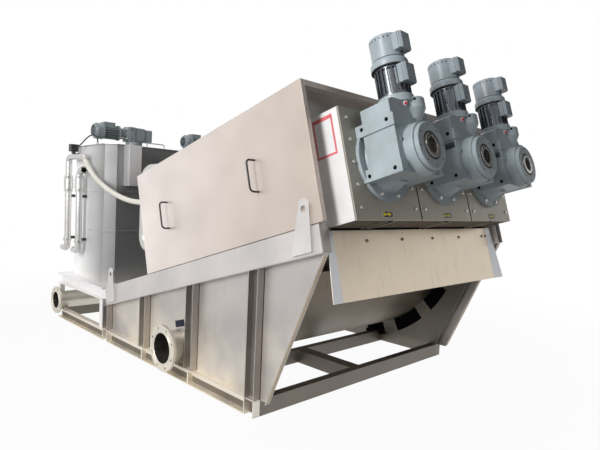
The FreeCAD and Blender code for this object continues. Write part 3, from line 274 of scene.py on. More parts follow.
# Agitator drives, lying along y
AGITATOR_Y = (-0.45, 0.54)
AGITATOR_X = -1.15
AGITATOR_AXIS_Z = 1.881
AGITATOR_GEAR_HALF = 0.125
AGITATOR_ADAPTER = 0.094
AGITATOR_ADAPTER_RIM = 0.012
AGITATOR_MOTOR = 0.152
AGITATOR_COWL = 0.066
AGITATOR_TAPER = 0.022
AGITATOR_COWL_RADIUS = 0.076
AGITATOR_SEAT_SHIFT = 0.04
AGITATOR_FOOT_TOP = 1.7496
AGITATOR_FOOT_RADIUS = 0.0905
AGITATOR_STUD_RADIUS = 0.064
AGITATOR_STUD = 0.0045
AGITATOR_SKIN = 0.0006
AGITATOR_SKIN_LAP = 0.002
AGITATOR_SKIN_LENGTH = AGITATOR_COWL + 0.001
AGITATOR_FIN_ROOT = 0.0632
AGITATOR_FIN_SPAN = (0.012, AGITATOR_MOTOR - 0.016)
AGITATOR_OPENING = 0.050
AGITATOR_GUARD_RADII = (0.012, 0.024, 0.036, 0.048)
AGITATOR_GUARD_RISE = 0.002
AGITATOR_WIRE = 0.0016
AGITATOR_SPOKE = (0.0018, 0.052)
AGITATOR_LID_RISE = 0.0835
AGITATOR_LID_HALF = 0.049
AGITATOR_LID_LENGTH = 0.112
AGITATOR_LID_HEIGHT = 0.009
AGITATOR_LID_BEVEL = 0.003
M8_HEAD = 0.014
M6_HEAD = 0.010

# Tank fittings, risers and flanges
RISER_X = (-1.49, -1.21)
RISER_Y = -1.005
RISER_RADIUS = 0.03
RISER_WALL = 0.006
RISER_UNION_Z = (0.79, 1.284, 1.410)
RISER_ARM = 0.105
RISER_TOP_Z = 1.49
RISER_FOOT = 0.12
RISER_FOOT_Z = 0.712
VALVE_Z = 1.36
CLAMP_Z = (0.82, 1.24)
CLAMP_FOOT_Y = -0.9353
CLAMP_KNOB_Y = 0.026
CLAMP_HALF = (0.016, 0.014)
CLAMP_BEVEL = 0.004
CLAMP_BAND = 0.022
CLAMP_BAND_RADIUS = RISER_RADIUS + 0.003
NUT_RADIUS = 0.041
NUT_HEIGHT = 0.024
NUT_COLLAR_RADIUS = 0.037
NUT_COLLAR = 0.036
NUT_COLLAR_DROP = 0.006
ELBOW_COLLAR = 0.022
ELBOW_COLLAR_RADII = (RISER_RADIUS - 0.002, RISER_RADIUS + 0.006)
PIPE_END_DISC = 0.0008
LEVER_REACH = 0.045
LEVER_STEM = (0.009, 0.026)
LEVER_STEM_BACK = Vector((0.012, 0, 0))
LEVER_BEVEL = 0.002
LEVER_CORNERS = ((-0.018, -0.007, -0.012), (-0.013, 0.007, 0.058))
OUTLET = Vector((0.684, -1.152, 0.228))
OUTLET_RADII = (0.1055, 0.128)
OUTLET_DEPTH = 0.17
INLET = Vector((-1.471, -1.112, 0.197))
INLET_RADII = (0.080, 0.100)
INLET_DEPTH = 0.30
RIDGE_RADIUS = 0.0014
WELD_RADIUS = 0.005
FLANGE_WELD_Y = 0.0205
WALL_WELD_RADIUS = 0.112
WALL_WELD_RISE = 0.002
# Painted shade inside the pipes: the sleeve's sink, its gaps to the bore, and its end disc
BORE_SHADE_SINK = 0.002
BORE_SHADE_GAPS = (0.0012, 0.0002)
BORE_SHADE_END = 0.001
BORE_SHADE_END_GAP = 0.0008
FIRST_RIDGE = 0.004
WALL_OUTER_Y = -0.995
LABEL_U = 1.074
LABEL_W = -0.241
LABEL_HALF = (0.060, 0.024)
LABEL_THICKNESS = 0.0012

# Posts, skid beams and the sloping front edge of the side walls
POST_X = (-0.480, 0.183, 0.843, 1.514)
POST_HALF = 0.045
POST_INNER_HALF = 0.038
POST_WEB_Y = 1.001
POST_FOOT_Z = 0.101
UNCUT_TOP_Z = 1.0
# Painted shadow line on the wall beside each post: its offsets from the post and its thickness
SHADOW_LINE_X = (0.0003, 0.004)
SHADOW_LINE_SKIN = 0.0006
WEB_SKIN = 0.0008
BEAM_WEB_Y = 1.002
BEAM_PANELS = ((-1.600, -0.530), (-0.430, 0.175), (0.191, 0.835), (0.851, 1.464))
BEAM_PANEL_Z = (0.008, 0.050)
FOOT_PANEL_Z = (0.006, 0.092)
FOOT_PLATE_Z = (0.094, 0.099)
FOOT_PLATE_Y = 1.038
FRONT_EDGE = (Vector((1.640, 0.0, 0.100)), Vector((2.051, 0.0, 1.020)))
FRONT_EDGE_Y = (0.9965, 1.0245)
EDGE_FACE_ENDS = (0.002, 0.014)
EDGE_FACE_SKIN = 0.0007
FOLD_LINE_Y = 0.009
FOLD_LINE_HALF = 0.0012
FOLD_LINE_DEPTH = 0.0012
FOLD_LINE_ENDS = (0.004, 0.016)

# Cords: the route's points are those of the part
HOSE_ROUTE = ((-1.090, -1.005, 1.585), (-1.022, -1.004, 1.525), (-0.900, -1.001, 1.442),
              (-0.730, -0.996, 1.360), (-0.520, -0.990, 1.288), (-0.300, -0.983, 1.238),
              (-0.110, -0.975, 1.216), (0.075, -0.975, 1.216))
HOSE_DIAMETER = 0.044
CABLE_ROUTE = ((-1.340, -1.005, 1.710), (-1.284, -1.005, 1.710), (-1.224, -0.999, 1.734),
               (-1.164, -0.990, 1.768), (-1.110, -0.978, 1.802), (-1.064, -0.961, 1.824),
               (-1.020, -0.943, 1.824), (-0.990, -0.930, 1.797), (-0.990, -0.930, 1.752))
CABLE_DIAMETER = 0.012

joint = frame["joints"][0]
U_AXIS = Vector(joint["axis"]).normalized()
W_AXIS = Vector((-U_AXIS.z, 0.0, U_AXIS.x))
SHAFT_FRONT = Vector((joint["pos_m"][0], 0.0, joint["pos_m"][2]))
RAIL_FOOT = SHAFT_FRONT - U_AXIS * SHAFT_FRONT_U - W_AXIS * SCREW_W
INCLINE_FRAME = Matrix.Translation(RAIL_FOOT) @ Matrix((U_AXIS, (0, 1, 0), W_AXIS)).transposed().to_4x4()


# Shader groups

def new_group(name, inputs, outputs):
    """Empty node group with its named sockets, and its input and output nodes."""
    tree = bpy.data.node_groups.new(name, "ShaderNodeTree")
    for socket, kind, value in inputs:
        made = tree.interface.new_socket(name=socket, in_out="INPUT", socket_type=kind)
        if value is not None:
            made.default_value = value
    for socket, kind in outputs:
        tree.interface.new_socket(name=socket, in_out="OUTPUT", socket_type=kind)
    return tree, tree.nodes.new("NodeGroupInput"), tree.nodes.new("NodeGroupOutput")


def noise(tree, vector, scale, detail):
    node = tree.nodes.new("ShaderNodeTexNoise")
    node.inputs["Detail"].default_value = detail
    node.inputs["Roughness"].default_value = NOISE_ROUGHNESS
    tree.links.new(vector, node.inputs["Vector"])
    if isinstance(scale, (int, float)):
        node.inputs["Scale"].default_value = scale
    else:
        tree.links.new(scale, node.inputs["Scale"])
    return node.outputs["Fac"]


def spread(tree, value, low, high, to_low=0.0, to_high=1.0):
    node = tree.nodes.new("ShaderNodeMapRange")
    node.inputs["From Min"].default_value = low
    node.inputs["From Max"].default_value = high
    node.inputs["To Min"].default_value = to_low
    node.inputs["To Max"].default_value = to_high
    tree.links.new(value, node.inputs["Value"])
    return node.outputs["Result"]


def calculate(tree, operation, first, second):
    """Math node on two numbers or outputs of other nodes."""
    node = tree.nodes.new("ShaderNodeMath")
    node.operation = operation
    for socket, value in zip(node.inputs, (first, second)):
        if isinstance(value, (int, float)):
            socket.default_value = value
        else:
            tree.links.new(value, socket)
    return node.outputs[0]


def stretched(tree, vector, scale):
    node = tree.nodes.new("ShaderNodeMapping")
    node.inputs["Scale"].default_value = scale
    tree.links.new(vector, node.inputs["Vector"])
    return node.outputs["Vector"]


def surface_group():
    """Grain, clouds, drips and the slow waves of a rolled or cast surface."""
    tree, start, end = new_group(
        "surface_marks",
        [("Vector", "NodeSocketVector", None), ("Grain Scale", "NodeSocketFloat", 400.0),
         ("Cloud Scale", "NodeSocketFloat", 3.0)],
        [("Grain", "NodeSocketFloat"), ("Clouds", "NodeSocketFloat"), ("Drips", "NodeSocketFloat"),
         ("Waves", "NodeSocketFloat")])
    vector = start.outputs["Vector"]
    tree.links.new(noise(tree, vector, start.outputs["Grain Scale"], 2.0), end.inputs["Grain"])
    clouds = noise(tree, vector, start.outputs["Cloud Scale"], 4.0)
    tree.links.new(spread(tree, clouds, 0.3, 0.7), end.inputs["Clouds"])
    drips = noise(tree, stretched(tree, vector, (22.0, 22.0, 0.9)), 1.0, 3.0)
    tree.links.new(spread(tree, drips, 0.55, 0.75), end.inputs["Drips"])
    tree.links.new(noise(tree, vector, 1.3, 1.0), end.inputs["Waves"])
    return tree


def edge_group():
    """Rounded normal along sharp edges, and a mask that is 1 on them."""
    tree, start, end = new_group("soft_edges", [("Radius", "NodeSocketFloat", 0.003)],
                                 [("Normal", "NodeSocketVector"), ("Edge", "NodeSocketFloat")])
    bevel = tree.nodes.new("ShaderNodeBevel")
    bevel.samples = 4
    tree.links.new(start.outputs["Radius"], bevel.inputs["Radius"])
    plain = tree.nodes.new("ShaderNodeNewGeometry")
    dot = tree.nodes.new("ShaderNodeVectorMath")
    dot.operation = "DOT_PRODUCT"
    tree.links.new(bevel.outputs["Normal"], dot.inputs[0])
    tree.links.new(plain.outputs["Normal"], dot.inputs[1])
    tree.links.new(bevel.outputs["Normal"], end.inputs["Normal"])
    tree.links.new(spread(tree, dot.outputs["Value"], 0.99, 0.8), end.inputs["Edge"])
    return tree


def dust_and_reflection_group():
    """Mask, thinning out with height above the floor, of dusting and dried splashes, and of a painted
    reflection of the floor.
    """
    inputs = [("Vector", "NodeSocketVector", None), ("Height", "NodeSocketFloat", 0.5)]
    tree, start, end = new_group("floor_dust_and_reflection", inputs, [("Dust And Reflection", "NodeSocketFloat")])
    split = tree.nodes.new("ShaderNodeSeparateXYZ")
    tree.links.new(start.outputs["Vector"], split.inputs[0])
    rise = calculate(tree, "DIVIDE", split.outputs["Z"], start.outputs["Height"])
    low = calculate(tree, "MAXIMUM", calculate(tree, "SUBTRACT", 1.0, rise), 0.0)
    blotch = spread(tree, noise(tree, start.outputs["Vector"], 2.5, 5.0), 0.35, 0.62)
    tree.links.new(calculate(tree, "MULTIPLY", low, blotch), end.inputs["Dust And Reflection"])
    return tree


SURFACE = surface_group()
EDGES = edge_group()
DUST_AND_REFLECTION = dust_and_reflection_group()


class Look:
    """A material while it is being wired: its tree, its shader and the object coordinates."""

    def __init__(self, name):
        self.material = bpy.data.materials.new(name)
        self.material.use_nodes = True
        self.tree = self.material.node_tree
        self.shader = self.tree.nodes["Principled BSDF"]
        self.place = self.tree.nodes.new("ShaderNodeTexCoord").outputs["Object"]

    def link(self, output, socket):
        self.tree.links.new(output, self.shader.inputs[socket])

    def group(self, tree, **values):
        node = self.tree.nodes.new("ShaderNodeGroup")
        node.node_tree = tree
        for name, value in values.items():
            node.inputs[name.replace("_", " ")].default_value = value
        if "Vector" in node.inputs:
            self.tree.links.new(self.place, node.inputs["Vector"])
        return node.outputs

    def share(self, mask, weight):
        return calculate(self.tree, "MULTIPLY", mask, weight)

    def mix(self, factor, first, second):
        node = self.tree.nodes.new("ShaderNodeMix")
        node.data_type = "RGBA"
        for name, value in (("Factor", factor), ("A", first), ("B", second)):
            self.fill(node.inputs[name], value)
        return node.outputs["Result"]

    def fill(self, socket, value):
        if isinstance(value, bpy.types.NodeSocket):
            self.tree.links.new(value, socket)
        elif isinstance(value, (int, float)):
            socket.default_value = value
        else:
            socket.default_value = (*value, 1.0)

    def bump(self, height, strength, distance, normal=None):
        node = self.tree.nodes.new("ShaderNodeBump")
        node.inputs["Strength"].default_value = strength
        node.inputs["Distance"].default_value = distance
        self.tree.links.new(height, node.inputs["Height"])
        if normal is not None:
            self.tree.links.new(normal, node.inputs["Normal"])
        return node.outputs["Normal"]


def shade(colour, factor):
    """Colour made darker or lighter, at most white."""
    return tuple(min(1.0, channel * factor) for channel in colour)


def sheet_metal(name, colour, roughness, waves=0.2, dust_and_reflection_height=0.6, dust_and_reflection_weight=0.7, drips=0.1, metallic=0.7,
                painted_light_fade=None):
    """Satin stainless steel: clouded, faintly wavy, lighter along its edges from wear and painted highlight,
    dusty and lighter near the floor with a painted floor reflection too, and, if asked, graded along x by
    painted shade and reflection.
    """
    look = Look(name)
    marks = look.group(SURFACE, Grain_Scale=420.0)
    edges = look.group(EDGES, Radius=0.0025)
    dust_and_reflection = look.group(DUST_AND_REFLECTION, Height=dust_and_reflection_height)
    tone = look.mix(marks["Clouds"], shade(colour, 0.9), shade(colour, 1.06))
    # Painted shade and reflection: the colour is graded along x towards a far colour
    if painted_light_fade is not None:
        split = look.tree.nodes.new("ShaderNodeSeparateXYZ")
        look.tree.links.new(look.place, split.inputs[0])
        start, end, painted_far_colour = painted_light_fade
        tone = look.mix(spread(look.tree, split.outputs["X"], start, end), tone, painted_far_colour)
    tone = look.mix(look.share(marks["Drips"], drips), tone, shade(colour, 0.62))
    # Lighter along the edges: partly wear, partly painted highlight
    tone = look.mix(look.share(edges["Edge"], 0.5), tone, EDGE_WEAR_AND_HIGHLIGHT)
    # Pale and warm towards the floor: dusting, and a painted reflection of the floor
    tone = look.mix(look.share(dust_and_reflection["Dust And Reflection"], dust_and_reflection_weight), tone, DUST_AND_REFLECTION_COLOUR)
    look.link(tone, "Base Color")
    look.shader.inputs["Metallic"].default_value = metallic
    rough = spread(look.tree, marks["Clouds"], 0.0, 1.0, roughness - 0.06, roughness + 0.07)
    rough = calculate(look.tree, "ADD", rough, look.share(dust_and_reflection["Dust And Reflection"], 0.25))
    look.link(rough, "Roughness")
    wavy = look.bump(marks["Waves"], waves, 0.012, edges["Normal"])
    look.link(look.bump(marks["Grain"], 0.12, 0.0006, wavy), "Normal")
    return look.material


def gear_paint(name, colour, roughness=0.38):
    """Two-part paint on castings: slight orange peel, edges lighter from worn paint and painted highlight,
    and old drips.
    """
    look = Look(name)
    marks = look.group(SURFACE, Grain_Scale=180.0, Cloud_Scale=7.0)
    edges = look.group(EDGES, Radius=0.004)
    tone = look.mix(marks["Clouds"], shade(colour, 0.88), shade(colour, 1.1))
    # Lighter along the edges: partly worn paint, partly painted highlight
    rubbed_and_highlit = look.share(edges["Edge"], look.share(marks["Clouds"], 0.6))
    tone = look.mix(rubbed_and_highlit, tone, shade(colour, 1.7))
    tone = look.mix(look.share(marks["Drips"], 0.12), tone, OLD_DRIPS)
    look.link(tone, "Base Color")
    look.shader.inputs["Coat Weight"].default_value = 0.12
    look.shader.inputs["Coat Roughness"].default_value = 0.25
    look.link(spread(look.tree, marks["Clouds"], 0.0, 1.0, roughness - 0.05, roughness + 0.1), "Roughness")
    look.link(look.bump(marks["Grain"], ORANGE_PEEL, 0.0008, edges["Normal"]), "Normal")
    return look.material


def plain_finish(name, colour, roughness, metallic=0.0, grain_scale=300.0, bump=0.15, variation=0.14,
                 specular=0.5):
    """Plastic, rubber or bright metal with fine grain and slightly uneven colour."""
    look = Look(name)
    marks = look.group(SURFACE, Grain_Scale=grain_scale, Cloud_Scale=18.0)
    tone = look.mix(marks["Clouds"], shade(colour, 1.0 - variation), shade(colour, 1.0 + variation))
    look.link(tone, "Base Color")
    look.shader.inputs["Metallic"].default_value = metallic
    look.shader.inputs["Specular IOR Level"].default_value = specular
    look.link(spread(look.tree, marks["Grain"], 0.2, 0.8, roughness - 0.05, roughness + 0.06), "Roughness")
    look.link(look.bump(marks["Grain"], bump, 0.0004), "Normal")
    return look.material


def braided_hose(name):
    """Pale reinforced hose: a braid shows faintly through its wall and grime collects in it."""
    look = Look(name)
    uv = look.tree.nodes.new("ShaderNodeTexCoord").outputs["UV"]
    crossed = []
    for lean in (1.0, -1.0):
        slanted = stretched(look.tree, uv, (260.0, 14.0 * lean, 1.0))
        wave = look.tree.nodes.new("ShaderNodeTexWave")
        wave.bands_direction = "DIAGONAL"
        wave.inputs["Scale"].default_value = 1.0
        look.tree.links.new(slanted, wave.inputs["Vector"])
        crossed.append(wave.outputs["Fac"])
    braid = look.share(*crossed)
    marks = look.group(SURFACE, Grain_Scale=300.0, Cloud_Scale=9.0)
    tone = look.mix(marks["Clouds"], (0.68, 0.65, 0.56), (0.80, 0.78, 0.70))
    tone = look.mix(look.share(braid, 0.3), tone, (0.55, 0.53, 0.47))
    look.link(tone, "Base Color")
    look.shader.inputs["Roughness"].default_value = 0.42
    look.shader.inputs["Coat Weight"].default_value = 0.3
    look.link(look.bump(braid, 0.3, 0.0008), "Normal")
    return look.material


# Painted reflection: the cover sheets turn darker and warmer towards +x
COVER_METAL = sheet_metal("cover_sheet_satin", (0.92, 0.85, 0.82), 0.42, waves=0.08, drips=0.04,
                          painted_light_fade=(-0.5, 2.1, (0.50, 0.43, 0.375)))
HOOD_METAL = sheet_metal("hood_sheet_satin", (0.62, 0.59, 0.565), 0.4, waves=0.15)
RAIL_METAL = sheet_metal("rail_satin", (0.60, 0.57, 0.56), 0.38, waves=0.15, dust_and_reflection_height=0.2)
# Painted shade: the rails' end caps are darker than the rails, the far one near-black
RAIL_END_SHADE = sheet_metal("rail_end_painted_shade", (0.32, 0.29, 0.265), 0.42)
RAIL_END_DEEP_SHADE = sheet_metal("rail_end_painted_deep_shade", (0.03, 0.027, 0.024), 0.5, metallic=0.3)
# Painted shade: dark strips on the web inside each post's channel
WEB_SHADE = sheet_metal("post_web_painted_shade", (0.20, 0.185, 0.175), 0.42, dust_and_reflection_weight=0.25)
# Painted shade: dark strips on the skid beams' web, and the line along the walls' folds
BEAM_SHADE = sheet_metal("beam_web_painted_shade", (0.17, 0.145, 0.12), 0.45, dust_and_reflection_weight=0.1)
FRONT_EDGE_METAL = sheet_metal("front_edge_warm", (0.86, 0.72, 0.55), 0.5, metallic=0.3)
LUG_METAL = sheet_metal("lug_plate_satin", (0.64, 0.62, 0.61), 0.36)
POST_METAL = sheet_metal("post_satin", (0.34, 0.31, 0.29), 0.36, dust_and_reflection_weight=0.35)
# The walls are lightened and warmed towards the floor more strongly than other sheets, partly as a painted
# reflection of the floor
WALL_METAL = sheet_metal("side_wall_satin", (0.475, 0.445, 0.43), 0.38, waves=0.3, dust_and_reflection_height=0.75,
                         dust_and_reflection_weight=0.85)
SKID_METAL = sheet_metal("skid_channel_satin", (0.84, 0.80, 0.73), 0.38, dust_and_reflection_height=0.3, dust_and_reflection_weight=0.9)
CROSS_METAL = sheet_metal("cross_member_dull", (0.20, 0.18, 0.16), 0.4, dust_and_reflection_weight=0.15)
PLATFORM_METAL = sheet_metal("platform_satin", (0.90, 0.89, 0.89), 0.36, dust_and_reflection_weight=0.2)
DRIVE_METAL = sheet_metal("drive_box_satin", (0.84, 0.83, 0.82), 0.45, metallic=0.12)
# Painted shade: the box's floor, which faces down, is dark brown
BOX_FLOOR_SHADE = plain_finish("box_floor_painted_shade", (0.11, 0.09, 0.07), 0.6, variation=0.35, specular=0.1)
# Painted shade: the front plates and the drain lips are much darker than the box's sides
DRIVE_PLATE_SHADE = sheet_metal("drive_plate_painted_shade", (0.33, 0.305, 0.26), 0.42, waves=0.15, drips=0.15)
# Painted reflection: the chute's warm, bright tone; its drips are stains
CHUTE_WARM_REFLECTION = sheet_metal("chute_painted_warm_reflection", (0.72, 0.62, 0.49), 0.34, waves=0.35, drips=0.3, metallic=0.85)
WING_METAL = sheet_metal("chute_wing_plain", (0.60, 0.615, 0.64), 0.34)
# Painted shade: the trough's pan and plates under the chute are dark brown; their drips are stains
TROUGH_METAL = sheet_metal("trough_painted_shade", (0.18, 0.148, 0.112), 0.42, waves=0.4, drips=0.3, dust_and_reflection_weight=0.2)
TROUGH_PLATE_METAL = sheet_metal("trough_plate_painted_shade", (0.20, 0.185, 0.16), 0.42, waves=0.3, drips=0.3,
                                 dust_and_reflection_weight=0.2)
# Painted shade: the far skid beam, seen from inside the frame, is much darker than the near one
FAR_BEAM_SHADE = sheet_metal("far_beam_painted_shade", (0.24, 0.215, 0.19), 0.42, dust_and_reflection_height=0.3, dust_and_reflection_weight=0.25)
# Painted shade: the tank darkens towards its +x face and chamfer, in the gap before the covers
TANK_METAL = sheet_metal("tank_sheet_satin", (0.96, 0.96, 0.97), 0.5, waves=0.4, metallic=0.35,
                         painted_light_fade=(-1.35, -0.735, (0.20, 0.20, 0.20)))
TANK_FRONT_METAL = sheet_metal("tank_fittings_satin", (0.80, 0.80, 0.81), 0.36, waves=0.2)
LID_METAL = sheet_metal("tank_lid_satin", (0.50, 0.50, 0.495), 0.4, metallic=0.45)
PIPE_METAL = sheet_metal("pipe_bright", (0.60, 0.59, 0.58), 0.22, waves=0.1, drips=0.05, metallic=0.85)
FLANGE_METAL = sheet_metal("flange_turned", (0.70, 0.66, 0.58), 0.34, waves=0.05, dust_and_reflection_weight=0.3)
SHAFT_METAL = sheet_metal("shaft_machined", (0.50, 0.49, 0.47), 0.24, waves=0.0, drips=0.0, metallic=0.9)
BOLT_METAL = plain_finish("bolt_bright", (0.62, 0.61, 0.58), 0.28, metallic=1.0)
BOLT_DARK = plain_finish("bolt_dull", (0.22, 0.20, 0.18), 0.35, metallic=1.0)
WELD_METAL = plain_finish("weld_bead", (0.42, 0.39, 0.36), 0.4, metallic=0.9, grain_scale=160.0, bump=0.4)
GEAR_PAINT = gear_paint("gear_paint_blue_grey", (0.385, 0.445, 0.475), roughness=0.45)
MOTOR_PAINT = plain_finish("motor_fins_bare", (0.11, 0.12, 0.135), 0.26, metallic=0.75, bump=0.3)
COWL_PAINT = gear_paint("cowl_paint_pale", (0.35, 0.405, 0.445), roughness=0.36)
AGITATOR_PAINT = gear_paint("agitator_paint_slate", (0.20, 0.235, 0.25))
# Painted shade between the agitator motors' fins
AGITATOR_FIN_SHADE = plain_finish("agitator_fin_painted_shade", (0.05, 0.055, 0.06), 0.35, bump=0.3)
AGITATOR_PALE = gear_paint("agitator_cowl_slate", (0.22, 0.26, 0.28), roughness=0.3)
NAME_PLATE = plain_finish("blank_plate_blue_grey", (0.06, 0.08, 0.10), 0.35, metallic=0.4)
LABEL_BLUE = plain_finish("blank_label_dark_blue", (0.010, 0.012, 0.028), 0.5, specular=0.15)
LABEL_WHITE = plain_finish("label_white", (0.82, 0.82, 0.82), 0.4, variation=0.03)
LABEL_PINK = plain_finish("label_border_faded_red", (0.72, 0.16, 0.18), 0.4)
LABEL_BLACK = plain_finish("label_black", (0.015, 0.015, 0.015), 0.4)
LABEL_YELLOW = plain_finish("label_yellow", (0.95, 0.80, 0.03), 0.4, variation=0.05)
PLUG_RED = plain_finish("breather_cap_red", (0.55, 0.02, 0.06), 0.35)
# Painted shade: the cover's handles are near-black
HANDLE_SHADE = plain_finish("handle_painted_shade", (0.02, 0.018, 0.017), 0.35, specular=0.35)
BLACK_PLASTIC = plain_finish("black_plastic", (0.015, 0.015, 0.016), 0.4)
BLACK_RUBBER = plain_finish("cable_rubber", (0.014, 0.014, 0.014), 0.55)
# Painted shade inside the pipes, and painted shadow round the drive plates' bolts
BORE_AND_BOLT_SHADE = plain_finish("pipe_bore_painted_shade", (0.05, 0.045, 0.04), 0.5, metallic=0.3, variation=0.5)
# Near-black: the dark joints and lid screws, painted shade in holes, slots, openings, open pipe ends and
# behind the trough's windows, and painted shadow strips beside the posts and above the chute
JOINT_AND_SHADE_BLACK = plain_finish("joint_black_and_painted_shade", (0.006, 0.006, 0.007), 0.8, specular=0.05)
HOSE_WALL = braided_hose("hose_wall")

NODE_FINISH = {
    "cover_handles": HANDLE_SHADE, "outlet_pipe": FLANGE_METAL, "inlet_pipe": FLANGE_METAL,
    "riser_pipes": PIPE_METAL, "loop_pipe": PIPE_METAL, "flocculation_tank": TANK_METAL,
    "tank_lid": LID_METAL, "overflow_box": TANK_FRONT_METAL, "drive_box": DRIVE_METAL,
    "drive_plates": DRIVE_PLATE_SHADE, "discharge_chute": CHUTE_WARM_REFLECTION, "trough_pan": TROUGH_METAL,
    "near_trough_plate": TROUGH_PLATE_METAL, "far_trough_plate": TROUGH_PLATE_METAL,
    "near_side_wall": WALL_METAL, "far_side_wall": WALL_METAL, "near_cover": COVER_METAL,
    "far_cover": COVER_METAL, "top_cover": COVER_METAL, "cover_tail_plate": COVER_METAL,
    "cover_end_plate": HOOD_METAL, "near_rail": RAIL_METAL, "far_rail": RAIL_METAL,
    "lifting_lugs": LUG_METAL, "side_posts": POST_METAL, "skid_near_beam": SKID_METAL,
    "skid_far_beam": FAR_BEAM_SHADE, "skid_cross_members": CROSS_METAL, "platform_beams": PLATFORM_METAL,
    "platform_deck": PLATFORM_METAL, "solenoid_valve": BLACK_PLASTIC, "valve_cable": BLACK_RUBBER,
    "wash_hose": HOSE_WALL,
}
KIND_FINISH = (("gearbox_", GEAR_PAINT), ("motor_", MOTOR_PAINT), ("fan_cowl_", COWL_PAINT),
               ("screw_shaft_", SHAFT_METAL), ("agitator_drive_", AGITATOR_PAINT))


def finish_of(name):
    for start, material in KIND_FINISH:
        if name.startswith(start):
            return material
    return NODE_FINISH[name]


def dress_frame():
    """Gives every CAD node its finish."""
    for name, node in nodes.items():
        node.data.materials.clear()
        node.data.materials.append(finish_of(name))


# Building helpers

def new_object(name, data):
    """Object that shows a mesh, a curve, a light or a camera in the scene."""
    made = bpy.data.objects.new(name, data)
    bpy.context.scene.collection.objects.link(made)
    return made


def new_mesh(name, bm):
    """Mesh of a bmesh, which is used up."""
    mesh = bpy.data.meshes.new(name)
    bm.to_mesh(mesh)
    bm.free()
    return mesh


def several(count):
    """Empty bmeshes to build in."""
    return [bmesh.new() for _ in range(count)]


def to_piece(name, bm, material, body=BODY, place=None):
    """Makes a finished piece of a bmesh, which then rides on a body."""
    if place is not None:
        bmesh.ops.transform(bm, matrix=place, verts=bm.verts)
    bmesh.ops.recalc_face_normals(bm, faces=bm.faces)
    mesh = new_mesh(name, bm)
    mesh.shade_smooth()
    mesh.set_sharp_from_angle(angle=SHARP_ANGLE)
    mesh.materials.append(material)
    piece = new_object(name, mesh)
    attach(piece, body)


def axis_turn(direction):
    """Rotation that takes +Z to a direction."""
    return Vector(UP).rotation_difference(Vector(direction)).to_matrix().to_4x4()


def add_disc(bm, centre, direction, radius, length, top_radius=None, segments=24):
    """Closed cylinder or cone that starts at a centre and runs along a direction."""
    matrix = Matrix.Translation(centre) @ axis_turn(direction) @ Matrix.Translation((0, 0, length / 2))
    if top_radius is None:
        top_radius = radius
    return bmesh.ops.create_cone(bm, cap_ends=True, cap_tris=False, segments=segments, radius1=radius,
                                 radius2=top_radius, depth=length, matrix=matrix)


def cut_edges(bm, edges, offset, segments=1):
    """Bevels edges, flat with one segment and round with more."""
    bmesh.ops.bevel(bm, geom=edges, offset=offset, affect="EDGES", segments=segments, profile=0.5,
                    material=-1)


def add_block(bm, low, high, bevel=0.0):
    """Box between two corners, its edges rounded if asked."""
    size = [b - a for a, b in zip(low, high)]
    middle = [(a + b) / 2 for a, b in zip(low, high)]
    matrix = Matrix.Translation(middle) @ Matrix.Diagonal((*size, 1.0))
    verts = bmesh.ops.create_cube(bm, size=1.0, matrix=matrix)["verts"]
    if bevel:
        cut_edges(bm, list({edge for vert in verts for edge in vert.link_edges}), bevel, 2)
    return verts


def add_bolt(bm, centre, direction, head):
    """Hexagon bolt head on its washer, its size across the flats."""
    centre = Vector(centre)
    direction = Vector(direction).normalized()
    rise = WASHER_HEIGHT * head
    add_disc(bm, centre, direction, WASHER_RADIUS * head, rise, segments=16)
    corner = head / sqrt(3)
    tall = HEAD_HEIGHT * head
    verts = add_disc(bm, centre + direction * rise, direction, corner, tall, segments=6)["verts"]
    start = centre + direction * (rise + tall)
    verts += add_disc(bm, start, direction, corner, HEAD_TAPER * head, HEAD_TOP * corner, 6)["verts"]
    turn = Matrix.Rotation(random.uniform(0, pi / 3), 4, direction)
    place = Matrix.Translation(centre) @ turn @ Matrix.Translation(-centre)
    bmesh.ops.transform(bm, matrix=place, verts=verts)


def spin_profile(bm, verts, centre, direction, steps):
    """Turns a closed outline once round an axis."""
    edges = list({edge for vert in verts for edge in vert.link_edges})
    bmesh.ops.spin(bm, geom=verts + edges, cent=centre, axis=direction, angle=2 * pi, steps=steps,
                   use_merge=True)


def add_ring(bm, centre, direction, radius, section, steps=40):
    """Closed round ring, such as a weld bead, a seal or a wire of a guard."""
    turn = axis_turn(direction)
    across = turn @ Vector((1, 0, 0))
    facing = Matrix.Translation(Vector(centre) + across * radius) @ axis_turn(turn @ Vector((0, 1, 0)))
    made = bmesh.ops.create_circle(bm, segments=8, radius=section, matrix=facing)
    spin_profile(bm, made["verts"], centre, direction, steps)


def add_flat_ring(bm, centre, direction, inner, outer, thickness, steps=64):
    """Washer-like ring that starts at a centre and runs along a direction."""
    turn = axis_turn(direction)
    shape = Matrix.Diagonal((outer - inner, 1, thickness, 1)) @ Matrix.Rotation(pi / 2, 4, "X")
    shape = shape @ Matrix.Rotation(pi / 4, 4, "Z")
    place = Matrix.Translation(centre) @ turn @ Matrix.Translation(((inner + outer) / 2, 0, thickness / 2))
    made = bmesh.ops.create_circle(bm, segments=4, radius=sqrt(0.5), matrix=place @ shape)
    spin_profile(bm, made["verts"], centre, direction, steps)


def bolt_set(name, spots, head, material=None):
    """Bolts of one size on the drive box, with their heads up the incline."""
    bm = bmesh.new()
    for spot in spots:
        add_bolt(bm, spot, ALONG, head)
    to_piece(name, bm, material or BOLT_METAL, place=INCLINE_FRAME)


def on_circle(centre, radius, angles):
    """Places in the flat frame round an axis along u."""
    return [Vector(centre) + Vector((0, radius * cos(a), radius * sin(a))) for a in angles]


def even_angles(count, start=0.0):
    return [start + 2 * pi * index / count for index in range(count)]


dress_frame()


# Cords

